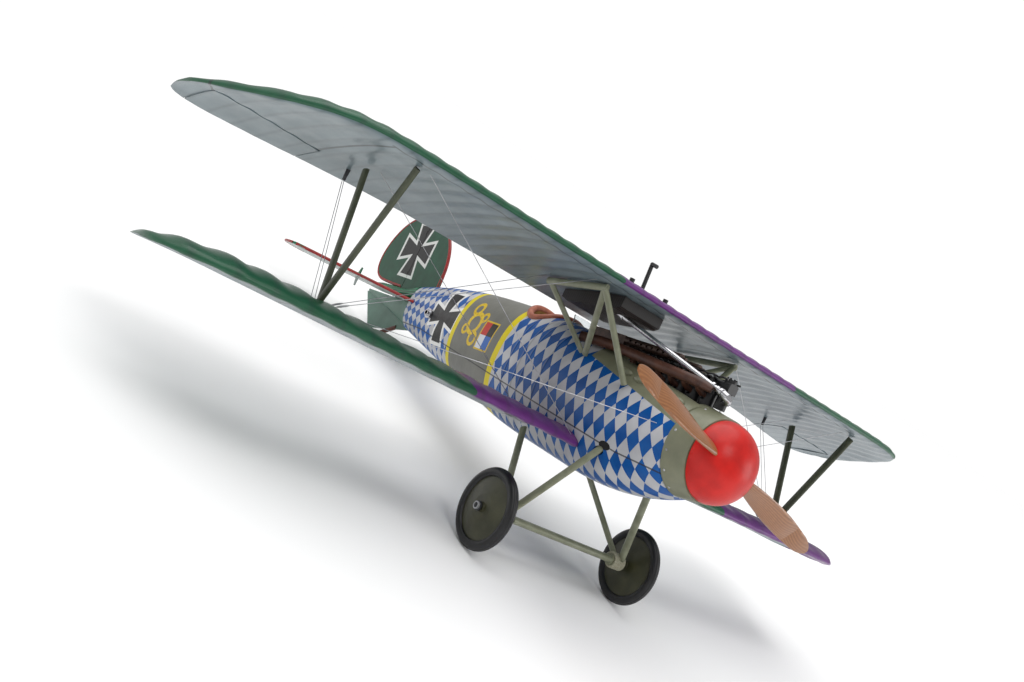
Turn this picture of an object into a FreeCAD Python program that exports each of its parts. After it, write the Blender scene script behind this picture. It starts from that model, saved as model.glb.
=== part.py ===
import FreeCAD, Part
import math
import os

from FreeCAD import Vector

os.makedirs("parts", exist_ok=True)

# Rubber-driven flying scale model of a single-bay biplane with V struts, about 1:15.
# The shapes are built in flying attitude: X to port, Y aft from the spinner tip and
# Z up from the thrust line, in millimetres. Each one is then turned tail down, so
# that the tyres and the tail skid rest on Z = 0, before it is written out.

# Driving dimensions
ground_angle = 15.85
stance_shift_y = -234.3
stance_shift_z = 131.5

upper_nose_z = 69.1
upper_nose_y = 80.0
upper_incidence = 7.4
lower_nose_z = -25.1
lower_nose_y = 101.1
lower_incidence = 3.9
lower_dihedral = 0.7

hull_front_y = 37.3
hull_rear_y = 380.0
hull_wall = 1.2
glue_line = 0.03
ring_front_y = 20.6
spinner_radius = 23.8
spinner_length = 20.2
shaft_radius = 0.8
running_gap = 0.05
hook_y = 50.0
peg_y = 330.0
peg_z = 17.0
peg_outer_radius = 2.5
peg_bore_radius = 1.6
strand_radius = 1.3

propeller_radius = 94.0
propeller_y = 11.5
blade_angle = 14.0

wheel_x = 62.6
wheel_y = 107.2
wheel_z = -80.2
wheel_radius = 25.0
tyre_width = 7.0
axle_radius = 1.3

strut_x = 203.3
strut_foot = (130.5, -14.9)
strut_front_top = (98.0, 64.6)
strut_rear_top = (150.5, 59.0)

aileron_inner_x = 222.0
aileron_outer_x = 287.0
aileron_hinge_y = 175.0
tail_z = 22.0
tail_hinge_y = 414.0
rudder_hinge_y = 418.0
hinge_gap = 0.9
aileron_gap = 1.6
hinge_pin_radius = 0.4
wire_radius = 0.2

STARBOARD = -1
PORT = 1


def vec(x, y, z):
    return Vector(x, y, z)


def save(shape, node):
    """Turns a finished shape into the tail-down stance and writes its STEP file."""
    out = shape.copy()
    out.rotate(vec(0, 0, 0), vec(1, 0, 0), -ground_angle)
    out.translate(vec(0, stance_shift_y, stance_shift_z))
    solids = out.Solids
    if len(solids) == 1:
        out = solids[0]
    out.exportStep("parts/" + node + ".step")
    box = out.optimalBoundingBox(False, False)
    print(node, len(solids), out.isValid(), round(out.Volume, 1),
          [round(v, 1) for v in (box.XMin, box.XMax, box.YMin, box.YMax, box.ZMin, box.ZMax)])


def mirror(shape):
    return shape.mirror(vec(0, 0, 0), vec(1, 0, 0))


def side_copy(shape, side):
    """A shape made for port, returned for the side asked for."""
    if side == PORT:
        return shape
    return mirror(shape)


def rod(start, end, radius):
    """Round bar between two points."""
    a = vec(*start)
    b = vec(*end)
    return Part.makeCylinder(radius, (b - a).Length, a, b - a)


def flat_bar(start, end, chord, thickness, chord_direction=(0, 1, 0)):
    """Streamlined bar: an oval of the given chord and thickness swept between two points."""
    a = vec(*start)
    b = vec(*end)
    along = (b - a).normalize()
    wide = vec(*chord_direction)
    wide = (wide - along * wide.dot(along)).normalize()
    oval = Part.Ellipse(a + wide * (chord / 2), a + along.cross(wide) * (thickness / 2), a)
    return Part.Face(Part.Wire(oval.toShape())).extrude(b - a)


def smooth_wire(points):
    curve = Part.BSplineCurve()
    curve.interpolate(points, PeriodicFlag=True)
    return Part.Wire(curve.toShape())


def block(x0, x1, y0, y1, z0, z1):
    return Part.makeBox(x1 - x0, y1 - y0, z1 - z0, vec(x0, y0, z0))


def prism(points, x0, x1):
    """Side-view polygon of (y, z) points, extruded from x0 to x1."""
    wire = Part.makePolygon([vec(x0, y, z) for y, z in points + points[:1]])
    return Part.Face(wire).extrude(vec(x1 - x0, 0, 0))


def plan_prism(points, z0, z1):
    """Plan-view polygon of (x, y) points, extruded from z0 to z1."""
    wire = Part.makePolygon([vec(x, y, z0) for x, y in points + points[:1]])
    return Part.Face(wire).extrude(vec(0, 0, z1 - z0))


def fuse_all(shapes):
    out = shapes[0]
    for shape in shapes[1:]:
        out = out.fuse(shape)
    return out.removeSplitter()


# Fuselage: oval sections lofted from the nose ring to the last former
def hull_section(y, half_width, top, bottom, inset=0.0):
    """Closed oval at station y, slightly squarer than an ellipse."""
    centre = (top + bottom) / 2
    a = half_width - inset
    b = (top - bottom) / 2 - inset
    points = []
    for i in range(24):
        t = 2 * math.pi * i / 24
        c = math.cos(t)
        s = math.sin(t)
        x = a * math.copysign(abs(c) ** 0.9, c)
        z = centre + b * math.copysign(abs(s) ** 0.9, s)
        points.append(vec(x, y, z))
    return smooth_wire(points)


hull_stations = [
    (hull_front_y, 26.6, 26.6, -26.6),
    (60.0, 28.6, 30.5, -34.5),
    (85.0, 29.8, 34.0, -38.8),
    (110.0, 30.4, 38.0, -39.8),
    (140.0, 30.6, 43.5, -38.2),
    (175.0, 30.2, 47.8, -35.8),
    (210.0, 28.8, 49.6, -32.4),
    (245.0, 26.2, 49.9, -26.0),
    (280.0, 22.8, 49.2, -18.9),
    (315.0, 18.9, 46.8, -12.4),
    (350.0, 14.6, 42.6, -5.6),
    (hull_rear_y, 10.4, 37.6, 0.2),
]


def hull_loft(inset):
    wires = [hull_section(*station, inset=inset) for station in hull_stations]
    return Part.makeLoft(wires, True, False)


hull_outer = hull_loft(0.0)
hull_inner = hull_loft(hull_wall)
hull_skin = hull_outer.cut(hull_inner)

# Upper cowl: the part of the skin above a line rising from the nose to the rear struts
cowl_rear_y = 128.0
cowl_region = prism([(hull_front_y - 1, 8.9), (cowl_rear_y, 28.9), (cowl_rear_y, 60), (hull_front_y - 1, 60)],
                    -40, 40)
upper_cowl = hull_skin.common(cowl_region)
hull_skin = hull_skin.cut(cowl_region)
engine_slot = block(-11.8, 11.8, 40.5, 113, 10, 70)
upper_cowl = upper_cowl.cut(engine_slot)

# Cockpit opening: an upright oval well, and the gun bay just ahead of it
cockpit_y = 205.0
cockpit_half_length = 17.0
cockpit_half_width = 20.0
well = Part.Ellipse(vec(cockpit_half_width, cockpit_y, 25), vec(0, cockpit_y + cockpit_half_length, 25),
                    vec(0, cockpit_y, 25))
cockpit_well = Part.Face(Part.Wire(well.toShape())).extrude(vec(0, 0, 40))
gun_bay = block(-13, 13, 127, 158, 24, 70)
hull_skin = hull_skin.cut(cockpit_well)
hull_skin = hull_skin.cut(gun_bay)


def hull_top(x, y):
    """Height of the hull's upper surface at (x, y), from the neighbouring stations."""
    for near, far in zip(hull_stations, hull_stations[1:]):
        if near[0] <= y <= far[0]:
            t = (y - near[0]) / (far[0] - near[0])
            half_width, top, bottom = [near[i] * (1 - t) + far[i] * t for i in (1, 2, 3)]
            c = min(1.0, abs(x) / half_width) ** (1 / 0.9)
            s = math.sqrt(1 - c * c) ** 0.9
            return (top + bottom) / 2 + (top - bottom) / 2 * s
    return 0.0


# Padded leather roll round the cockpit edge, following the curve of the hull
coaming_radius = 2.3
rim_points = []
for i in range(20):
    t = 2 * math.pi * i / 20
    x = cockpit_half_width * math.cos(t)
    y = cockpit_y + cockpit_half_length * math.sin(t)
    rim_points.append(vec(x, y, hull_top(x, y) + 0.3))
rim_edge = smooth_wire(rim_points).Edges[0]
rim_start = rim_edge.FirstParameter
rim_end = rim_edge.LastParameter


def rim_piece(first, last):
    """Stretch of the padded roll between two parameters of the rim curve."""
    path = rim_edge.Curve.toShape(first, last)
    circle = Part.Circle(path.valueAt(first), path.tangentAt(first), coaming_radius)
    return Part.Wire(path).makePipeShell([Part.Wire(circle.toShape())], True, False)


coaming = rim_piece(rim_start, (rim_start + rim_end) / 2).fuse(rim_piece((rim_start + rim_end) / 2, rim_end))
hull_skin = hull_skin.cut(coaming)

# Holes for the motor peg, the wing joiners and the cabane and gear fittings
peg_hole = rod((-40, peg_y, peg_z), (40, peg_y, peg_z), 4.0)
hull_skin = hull_skin.cut(peg_hole)
joiner_radius = 1.0
joiner_places = [(124.0, -22.4), (162.0, -26.0)]
for jy, jz in joiner_places:
    hull_skin = hull_skin.cut(rod((-40, jy, jz), (40, jy, jz), joiner_radius))

gear_front_top = (24.5, 82.4, -19.2)
gear_front_foot = (50.0, 103.5, -77.0)
gear_slot = flat_bar(gear_front_top, gear_front_foot, 7.4, 4.4)
gear_slot = gear_slot.fuse(gear_slot.translated(vec(-3, -3, 7)))
hull_skin = hull_skin.cut(gear_slot).cut(mirror(gear_slot))

starboard_half = block(-60, 0, 0, 500, -80, 80)
shell_starboard = hull_skin.common(starboard_half)
shell_port = mirror(shell_starboard)

save(coaming, "cockpit_coaming")
save(shell_starboard, "fuselage_shell_starboard")
save(shell_port, "fuselage_shell_port")
save(upper_cowl, "upper_cowl")


# Formers: plywood rings glued inside the shell
hull_fitting = hull_loft(hull_wall + glue_line)


def former(y, thickness, opening_radius, opening_z):
    slab = block(-60, 60, y, y + thickness, -80, 80)
    ring = hull_fitting.common(slab)
    hole = rod((0, y - 1, opening_z), (0, y + thickness + 1, opening_z), opening_radius)
    return ring.cut(hole)


former_peg = former(peg_y + 8, 2.0, 8.0, peg_z)
save(former_peg, "former_peg")

# Red-edged bulkhead that closes the painted part of the hull
tail_former = former(hull_rear_y - 3.0, 3.0, 3.0, 19.0)
save(tail_former, "former_tail")

# Tail cone behind the last former, closing to a level edge
cone_front = hull_section(hull_rear_y + 0.02, 10.2, 37.2, 0.6)
cone_mid = hull_section(425.0, 5.6, 26.5, 10.5)
cone_rear = hull_section(466.0, 1.6, 20.9, 18.1)
tail_cone = Part.makeLoft([cone_front, cone_mid, cone_rear], True, False)
tail_deck = block(-20, 20, 360, 480, tail_z - 1.6, 60)
tail_cone = tail_cone.cut(tail_deck)
cone_bore = rod((0, 379, 15), (0, 405, 15), 3.5)
save(tail_cone.cut(cone_bore), "tail_cone")

# Nose ring and the wooden nose block that carries the thrust bush
ring_outer = Part.makeCone(24.6, 26.7, hull_front_y - ring_front_y, vec(0, ring_front_y, 0), vec(0, 1, 0))
ring_inner = Part.makeCone(22.6, 24.7, hull_front_y - ring_front_y, vec(0, ring_front_y, 0), vec(0, 1, 0))
save(ring_outer.cut(ring_inner), "nose_ring")
plug_front_y = 22.6
plug = Part.makeCone(22.85, 23.55, 5.6, vec(0, plug_front_y, 0), vec(0, 1, 0))
plug = plug.fuse(Part.makeCylinder(9.0, 9.0, vec(0, plug_front_y + 5.6, 0), vec(0, 1, 0)))
bush_radius = 2.4
plug = plug.cut(rod((0, 0, 0), (0, 60, 0), bush_radius))
save(plug.removeSplitter(), "nose_block")
bush = rod((0, plug_front_y, 0), (0, plug_front_y + 16.0, 0), bush_radius)
bush = bush.fuse(rod((0, plug_front_y - 0.8, 0), (0, plug_front_y, 0), 4.2))
bush = bush.cut(rod((0, 0, 0), (0, 60, 0), shaft_radius + running_gap))
save(bush.removeSplitter(), "thrust_bush")

# Propeller shaft: a wire from the hub nut to a ring hook for the rubber
hook_ring_radius = 4.0
shaft = rod((0, 3.4, 0), (0, hook_y - hook_ring_radius, 0), shaft_radius)
hook = Part.makeTorus(hook_ring_radius, shaft_radius, vec(0, hook_y, 0), vec(0, 0, 1))
save(shaft.fuse(hook).removeSplitter(), "prop_shaft")
washer_inner = shaft_radius + running_gap
washers = []
for wy in (plug_front_y - 1.3, plug_front_y - 1.85):
    outer = rod((0, wy, 0), (0, wy + 0.45, 0), 3.0)
    washers.append(outer.cut(rod((0, 0, 0), (0, 60, 0), washer_inner)))
save(Part.makeCompound(washers), "thrust_washers")
nut = Part.makeCylinder(3.0, 2.6, vec(0, 4.2, 0), vec(0, 1, 0))
save(nut.cut(rod((0, 0, 0), (0, 60, 0), shaft_radius)), "prop_nut")


# Propeller: twisted blades lofted outward from a round hub
def blade_section(r, chord, thickness, pitch_angle):
    """Cambered blade section across the blade at radius r, blade along +X."""
    ca = math.cos(math.radians(pitch_angle))
    sa = math.sin(math.radians(pitch_angle))
    points = []
    for i in range(16):
        t = 2 * math.pi * i / 16
        u = chord / 2 * math.cos(t)
        s = math.sin(t)
        w = thickness * (0.62 if s > 0 else 0.38) * s
        points.append(vec(r, -u * sa + w * -ca, u * ca + w * -sa))
    return smooth_wire(points)


def blade():
    wires = []
    for r, chord, thickness in ((5.5, 7.5, 4.6), (16, 9.5, 4.0), (30, 12.6, 3.2), (48, 14.4, 2.6),
                                (66, 14.0, 2.1), (80, 12.0, 1.7), (90, 8.4, 1.3), (propeller_radius, 3.6, 0.9)):
        angle = math.degrees(math.atan2(48.0, r * 1.1 + 8))
        wires.append(blade_section(r, chord, thickness, min(angle, 62)))
    return Part.makeLoft(wires, True, False)


def blade_pair():
    first = blade()
    second = first.copy()
    second.rotate(vec(0, 0, 0), vec(0, 1, 0), 180)
    pair = [first, second]
    for shape in pair:
        shape.rotate(vec(0, 0, 0), vec(0, 1, 0), blade_angle)
        shape.translate(vec(0, propeller_y, 0))
    return pair


hub = Part.makeCylinder(7.0, 8.6, vec(0, 6.9, 0), vec(0, 1, 0))
propeller = fuse_all([hub] + blade_pair())
propeller = propeller.cut(rod((0, 0, 0), (0, 60, 0), shaft_radius))
save(propeller, "propeller")


def spinner_solid(inset):
    """Blunt ogive spun about the shaft."""
    points = []
    for i in range(13):
        t = i / 12
        r = (spinner_radius - inset) * math.sqrt(max(0.0, 1 - (1 - t) ** 2.1))
        y = inset + (spinner_length - inset) * t
        points.append(vec(r, y, 0))
    curve = Part.BSplineCurve()
    curve.interpolate(points)
    base = points[-1]
    tip = points[0]
    rim = Part.LineSegment(base, vec(0, base.y, 0)).toShape()
    back = Part.LineSegment(vec(0, base.y, 0), tip).toShape()
    face = Part.Face(Part.Wire([curve.toShape(), rim, back]))
    return face.revolve(vec(0, 0, 0), vec(0, 1, 0), 360)


spinner = spinner_solid(0.0).cut(spinner_solid(1.1)).cut(propeller)
spinner = max(spinner.Solids, key=lambda solid: solid.Volume)
save(spinner, "spinner")
plate = rod((0, 15.5, 0), (0, 15.5 + 1.4, 0), 20.6)
plate = plate.cut(rod((0, 0, 0), (0, 60, 0), shaft_radius))
for turn in (90, 270):
    relief = block(8, 30, 15, 18, -6, 6)
    relief.rotate(vec(0, 0, 0), vec(0, 1, 0), blade_angle + turn - 90)
    plate = plate.cut(relief)
save(plate, "spinner_backplate")

# Rubber motor: one loop from the hook to the peg, both of which cross it along X
loop_radius = peg_outer_radius + strand_radius + 0.05
hook_bearing_y = hook_y + hook_ring_radius - shaft_radius - 0.05
motor_start = vec(0, hook_bearing_y + loop_radius - strand_radius, 0)
motor_end = vec(0, peg_y, peg_z)
motor_slope = math.degrees(math.atan2(motor_end.z - motor_start.z, motor_end.y - motor_start.y))
motor_length = (motor_end - motor_start).Length


def strand_face(y):
    """Round end face of the upper strand at distance y along the loop."""
    circle = Part.Circle(vec(0, y, loop_radius), vec(0, 1, 0), strand_radius)
    return Part.Face(Part.Wire(circle.toShape()))


upper_strand = strand_face(0).extrude(vec(0, motor_length, 0))
lower_strand = upper_strand.translated(vec(0, 0, -2 * loop_radius))
front_turn = strand_face(0).revolve(vec(0, 0, 0), vec(1, 0, 0), 180)
rear_turn = strand_face(motor_length).revolve(vec(0, motor_length, 0), vec(1, 0, 0), -180)
rubber = upper_strand.fuse(front_turn).fuse(lower_strand).fuse(rear_turn).removeSplitter()
rubber.rotate(vec(0, 0, 0), vec(1, 0, 0), motor_slope)
rubber.translate(motor_start)
save(rubber, "rubber_motor")

# Motor peg: a tube across the hull whose bore takes a winding-stand rod
peg_half = 21.5
peg = rod((-peg_half, peg_y, peg_z), (peg_half, peg_y, peg_z), peg_outer_radius)
peg = peg.cut(rod((-30, peg_y, peg_z), (30, peg_y, peg_z), peg_bore_radius))
save(peg, "motor_peg")
peg_bush = rod((13.5, peg_y, peg_z), (19.5, peg_y, peg_z), 4.0)
peg_bush = peg_bush.cut(rod((0, peg_y, peg_z), (30, peg_y, peg_z), peg_outer_radius))
save(Part.makeCompound([peg_bush, mirror(peg_bush)]), "peg_bushes")


# Wings: thin cambered sections between a leading and a trailing edge line
upper_profile = [(1.0, 0.003), (0.9, 0.021), (0.75, 0.044), (0.6, 0.062), (0.45, 0.073), (0.3, 0.075),
                 (0.15, 0.063), (0.075, 0.047), (0.025, 0.028), (0.0, 0.0), (0.025, -0.014),
                 (0.075, -0.014), (0.15, -0.008), (0.3, 0.003), (0.45, 0.010), (0.6, 0.012),
                 (0.75, 0.010), (0.9, 0.004), (1.0, -0.003)]


def wing_section(x, nose_y, nose_z, tail_y, incidence, thickness):
    chord = tail_y - nose_y
    drop = math.tan(math.radians(incidence))
    points = []
    for u, h in upper_profile:
        y = nose_y + u * chord
        z = nose_z + h * thickness * chord - u * chord * drop
        points.append(vec(x, y, z))
    curve = Part.BSplineCurve()
    curve.interpolate(points)
    closing = Part.LineSegment(points[-1], points[0]).toShape()
    return Part.Wire([curve.toShape(), closing])


upper_plan = [
    (0.0, 80.0, 187.0), (75.0, 80.0, 187.0), (150.0, 80.0, 189.5), (190.0, 80.0, 195.5),
    (215.0, 80.5, 201.0), (232.0, 82.5, 206.0), (246.0, 87.5, 209.5), (258.0, 98.0, 212.0),
    (269.0, 114.5, 214.5), (279.0, 133.5, 215.8), (288.0, 152.0, 215.0), (295.0, 168.0, 211.5),
    (300.5, 184.0, 204.0),
]


def upper_section(x, nose_y, tail_y):
    back_set = (nose_y - upper_nose_y) * math.tan(math.radians(upper_incidence))
    relief = 1.0 if x < 250 else 1.0 + (x - 250) * 0.004
    return wing_section(x, nose_y, upper_nose_z - back_set, tail_y, upper_incidence, relief)


half_upper = Part.makeLoft([upper_section(*row) for row in upper_plan], True, True)
upper_wing = half_upper.fuse(mirror(half_upper)).removeSplitter()

lower_plan = [
    (12.0, 101.1, 186.0), (75.0, 101.1, 186.0), (150.0, 101.1, 187.0), (205.0, 101.1, 189.5),
    (236.0, 103.5, 193.0), (255.0, 109.0, 194.5), (270.0, 119.0, 194.8), (282.0, 132.0, 193.0),
    (291.0, 145.0, 188.0), (298.0, 159.0, 178.0),
]


def lower_section(x, nose_y, tail_y):
    back_set = (nose_y - lower_nose_y) * math.tan(math.radians(lower_incidence))
    rise = x * math.tan(math.radians(lower_dihedral))
    return wing_section(x, nose_y, lower_nose_z - back_set + rise, tail_y, lower_incidence, 1.25)


half_lower = Part.makeLoft([lower_section(*row) for row in lower_plan], True, True)
half_lower = half_lower.cut(hull_outer)
joiner_length = 40.0
for jy, jz in joiner_places:
    half_lower = half_lower.cut(rod((0, jy, jz), (joiner_length, jy, jz), joiner_radius))
save(half_lower, "lower_wing_port")
save(mirror(half_lower), "lower_wing_starboard")
joiners = [rod((-joiner_length, jy, jz), (joiner_length, jy, jz), joiner_radius) for jy, jz in joiner_places]
save(Part.makeCompound(joiners), "wing_joiners")


# Hinges: a lug on the fixed part, a round notch in the moving part and a pin through both
class Hinge:
    lug_radius = 1.5
    lug_width = 3.0
    pin_length = 9.0

    def __init__(self, centre, axis, forward, reach):
        self.centre = vec(*centre)
        self.axis = vec(*axis).normalize()
        self.forward = vec(*forward).normalize()
        self.reach = reach

    def bar(self, radius, length):
        return Part.makeCylinder(radius, length, self.centre - self.axis * (length / 2), self.axis)

    def lug(self):
        side = self.axis.cross(self.forward)
        a = self.centre - self.axis * (self.lug_width / 2) - side * 0.8
        corners = [a, a + self.forward * self.reach, a + self.forward * self.reach + side * 1.6, a + side * 1.6]
        web = Part.Face(Part.makePolygon(corners + [corners[0]])).extrude(self.axis * self.lug_width)
        return self.bar(1.2, self.lug_width).fuse(web).cut(self.bar(hinge_pin_radius, self.pin_length))

    def notch(self):
        return self.bar(self.lug_radius + 0.3, self.lug_width + 0.8)

    def pin(self):
        return self.bar(hinge_pin_radius, self.pin_length)

    def pin_bore(self):
        return self.bar(hinge_pin_radius + running_gap, self.pin_length + 0.6)


# Ailerons: cut from the upper wing behind a straight hinge line
def upper_middle_z(y):
    """Height of the section's middle line at station y, aft of mid chord."""
    return upper_nose_z - (y - upper_nose_y) * math.tan(math.radians(upper_incidence)) + 3.1


hinge_z = upper_middle_z(aileron_hinge_y)
end_gap = 0.6
wing_cut = plan_prism([(aileron_inner_x - end_gap, aileron_hinge_y - aileron_gap),
                       (aileron_outer_x + end_gap, aileron_hinge_y - aileron_gap),
                       (aileron_outer_x + end_gap, 240), (aileron_inner_x - end_gap, 240)], 0, 100)
aileron_cut = plan_prism([(aileron_inner_x, aileron_hinge_y), (aileron_outer_x, aileron_hinge_y),
                         (aileron_outer_x, 240), (aileron_inner_x, 240)], 0, 100)
aileron = half_upper.common(aileron_cut)
upper_wing = upper_wing.cut(wing_cut).cut(mirror(wing_cut))

# Aileron crank: a torque tube inside the wing with a lever through a slot
crank_x = 201.0
tube_radius = 1.0
axis_y = aileron_hinge_y + 0.6
torque_tube = rod((crank_x - 1.5, axis_y, hinge_z), (aileron_inner_x + 5, axis_y, hinge_z), tube_radius)
lever = prism([(axis_y - 1.6, hinge_z), (axis_y - 1.0, hinge_z - 8.5), (axis_y + 1.0, hinge_z - 8.5),
              (axis_y + 1.6, hinge_z)], crank_x - 0.6, crank_x + 0.6)
aileron_hinges = [Hinge((hx, axis_y, hinge_z), (1, 0, 0), (0, -1, 0), 3.4) for hx in (240.0, 276.0)]
aileron = aileron.fuse(torque_tube).fuse(lever)
tube_bore = rod((crank_x - 2, axis_y, hinge_z), (aileron_inner_x, axis_y, hinge_z), tube_radius + running_gap)
upper_wing = upper_wing.cut(tube_bore).cut(mirror(tube_bore))
lever_slot = block(crank_x - 1.2, crank_x + 1.2, axis_y - 6.5, axis_y + 6.5, 30, hinge_z + 0.8)
upper_wing = upper_wing.cut(lever_slot).cut(mirror(lever_slot))
for hinge in aileron_hinges:
    upper_wing = upper_wing.fuse(hinge.lug()).fuse(mirror(hinge.lug()))
    aileron = aileron.cut(hinge.notch()).cut(hinge.pin_bore())
aileron = aileron.removeSplitter()
save(aileron, "aileron_port")
save(mirror(aileron), "aileron_starboard")
hinge_pins = []
for hinge in aileron_hinges:
    hinge_pins.append(hinge.pin())
    hinge_pins.append(mirror(hinge.pin()))


# Tail surfaces: thin slabs with half-round edges
def rounded_slab(points, thickness, normal):
    """Closed smooth outline of points, given thickness along normal about the outline plane."""
    half = vec(*normal) * (thickness / 2)
    curve = Part.BSplineCurve()
    curve.interpolate([vec(*p) - half for p in points])
    first = vec(*points[0]) - half
    last = vec(*points[-1]) - half
    closing = Part.LineSegment(last, first).toShape()
    slab = Part.Face(Part.Wire([curve.toShape(), closing])).extrude(half * 2)
    return slab


tail_thickness = 2.2
stab_outline = [(0, 366.0), (9.0, 369.5), (38.0, 381.5), (72.0, 396.5), (96.0, 407.0), (104.5, 411.0),
                (106.5, tail_hinge_y)]
stab_points = [(-x, y, tail_z) for x, y in reversed(stab_outline[1:])] + [(x, y, tail_z) for x, y in stab_outline]
tailplane = rounded_slab(stab_points, tail_thickness, (0, 0, 1))
tailplane = tailplane.cut(hull_outer)
elevator_front = tail_hinge_y + hinge_gap
elevator_outline = [(106.5, elevator_front), (107.0, 424.0), (104.0, 438.0), (94.0, 449.5), (78.0, 455.0),
                    (58.0, 453.0), (38.0, 444.0), (22.0, 436.5), (8.0, 433.5), (0, 433.0)]
elevator_points = [(x, y, tail_z) for x, y in elevator_outline]
elevator_points += [(-x, y, tail_z) for x, y in reversed(elevator_outline[:-1])]
elevator = rounded_slab(elevator_points, tail_thickness - 0.4, (0, 0, 1))
elevator_clearance = block(-6.4, 6.4, elevator_front - 1, 470, tail_z - 5, tail_z + 5)
elevator_tube = rod((-7.5, elevator_front, tail_z), (7.5, elevator_front, tail_z), 0.85)
elevator = elevator.cut(elevator_clearance).fuse(elevator_tube)
horn_x = 42.6
horn = prism([(elevator_front - 0.2, tail_z - 8.0), (elevator_front + 1.2, tail_z - 8.0),
              (elevator_front + 4.2, tail_z), (elevator_front + 1.2, tail_z + 8.0),
              (elevator_front - 0.2, tail_z + 8.0), (elevator_front - 0.4, tail_z)], horn_x - 0.5, horn_x + 0.5)
elevator = elevator.fuse(horn).fuse(mirror(horn))
elevator_hinges = [Hinge((hx, elevator_front, tail_z), (1, 0, 0), (0, -1, 0), 3.0) for hx in (26.0, 84.0)]
for hinge in elevator_hinges:
    for side in (PORT, STARBOARD):
        tailplane = tailplane.fuse(side_copy(hinge.lug(), side))
        elevator = elevator.cut(side_copy(hinge.notch(), side)).cut(side_copy(hinge.pin_bore(), side))
        hinge_pins.append(side_copy(hinge.pin(), side))

fin_outline = [(366.0, tail_z + 1.6), (364.5, 42.0), (367.0, 58.0), (374.5, 74.0), (387.0, 86.0),
               (402.0, 92.5), (rudder_hinge_y - hinge_gap, 95.0)]
fin_curve = Part.BSplineCurve()
fin_half = 1.1
fin_curve.interpolate([vec(-fin_half, y, z) for y, z in fin_outline])
fin_top = vec(-fin_half, rudder_hinge_y - hinge_gap, 95.0)
fin_foot = vec(-fin_half, rudder_hinge_y - hinge_gap, tail_z + tail_thickness / 2)
fin_start = vec(-fin_half, 366.0, tail_z + 1.6)
fin_low = vec(-fin_half, 366.0, tail_z + tail_thickness / 2)
fin_wire = Part.Wire([fin_curve.toShape(), Part.LineSegment(fin_top, fin_foot).toShape(),
                      Part.LineSegment(fin_foot, fin_low).toShape(),
                      Part.LineSegment(fin_low, fin_start).toShape()])
fin = Part.Face(fin_wire).extrude(vec(2 * fin_half, 0, 0)).cut(hull_outer)
rudder_outline = [(rudder_hinge_y, 95.0), (430.0, 95.0), (446.0, 91.0), (460.0, 80.5), (469.5, 65.0),
                  (472.5, 50.0), (469.0, 38.5), (459.0, 32.5), (440.0, 31.2), (rudder_hinge_y, 31.0)]
rudder_curve = Part.BSplineCurve()
rudder_half = 0.95
rudder_curve.interpolate([vec(-rudder_half, y, z) for y, z in rudder_outline])
rudder_wire = Part.Wire([rudder_curve.toShape(),
                         Part.LineSegment(vec(-rudder_half, rudder_hinge_y, 31.0),
                                          vec(-rudder_half, rudder_hinge_y, 95.0)).toShape()])
rudder = Part.Face(rudder_wire).extrude(vec(2 * rudder_half, 0, 0))
rudder_hinges = [Hinge((0, rudder_hinge_y, hz), (0, 0, 1), (0, -1, 0), 3.0) for hz in (44.0, 82.0)]
for hinge in rudder_hinges:
    fin = fin.fuse(hinge.lug())
    rudder = rudder.cut(hinge.notch()).cut(hinge.pin_bore())
    hinge_pins.append(hinge.pin())
save(upper_wing.removeSplitter(), "upper_wing")
save(tailplane.removeSplitter(), "tailplane")
save(elevator.removeSplitter(), "elevator")
save(fin.removeSplitter(), "fin")
save(rudder.removeSplitter(), "rudder")
save(Part.makeCompound(hinge_pins), "hinge_pins")

# Sheet fin under the tail cone, and the skid that it carries
skid_low_y = 426.0
skid_low_z = -16.0
ventral = prism([(hull_rear_y + 0.2, 14.0), (hull_rear_y + 0.2, -0.6), (441.0, -11.0), (469.0, 18.0),
                 (450.0, 19.0)], -0.8, 0.8).cut(tail_cone)
skid = flat_bar((0, 397.0, -1.5), (0, skid_low_y - 1.0, skid_low_z + 1.8), 3.6, 3.4, (0, 0, 1))
skid = skid.fuse(Part.makeSphere(1.8, vec(0, skid_low_y - 1.2, skid_low_z + 1.8)))
save(ventral, "ventral_fin")
save(skid.cut(ventral).removeSplitter(), "tail_skid")


# Interplane V struts and cabane frames
strut_chord = 5.6
strut_thickness = 2.9
v_strut = flat_bar((strut_x,) + strut_foot, (strut_x,) + strut_front_top, strut_chord, strut_thickness)
v_strut = v_strut.fuse(flat_bar((strut_x,) + strut_foot, (strut_x,) + strut_rear_top, strut_chord,
                                strut_thickness))
v_strut = v_strut.cut(upper_wing).cut(half_lower).removeSplitter()
save(v_strut, "v_strut_port")
save(mirror(v_strut), "v_strut_starboard")

cabane_x = 61.9
cabane_front_top = (cabane_x, 97.6, 63.6)
cabane_rear_top = (cabane_x, 148.1, 58.6)
cabane_front_foot = (27.0, 86.2, 18.6)
cabane_rear_foot = (26.0, 135.0, 28.4)
cabane = flat_bar((cabane_x, 95.6, 63.8), (cabane_x, 150.1, 58.4), 4.2, 3.4, (0, 0, 1))
for top, foot, chord in ((cabane_front_top, cabane_front_foot, 5.0), (cabane_rear_top, cabane_rear_foot, 4.6),
                         (cabane_front_top, (26.6, 131.0, 27.8), 4.4)):
    cabane = cabane.fuse(flat_bar(foot, top, chord, 2.9))
cabane = cabane.cut(upper_wing).cut(hull_outer)
cabane = cabane.removeSplitter()
save(cabane, "cabane_port")
save(mirror(cabane), "cabane_starboard")

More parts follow.
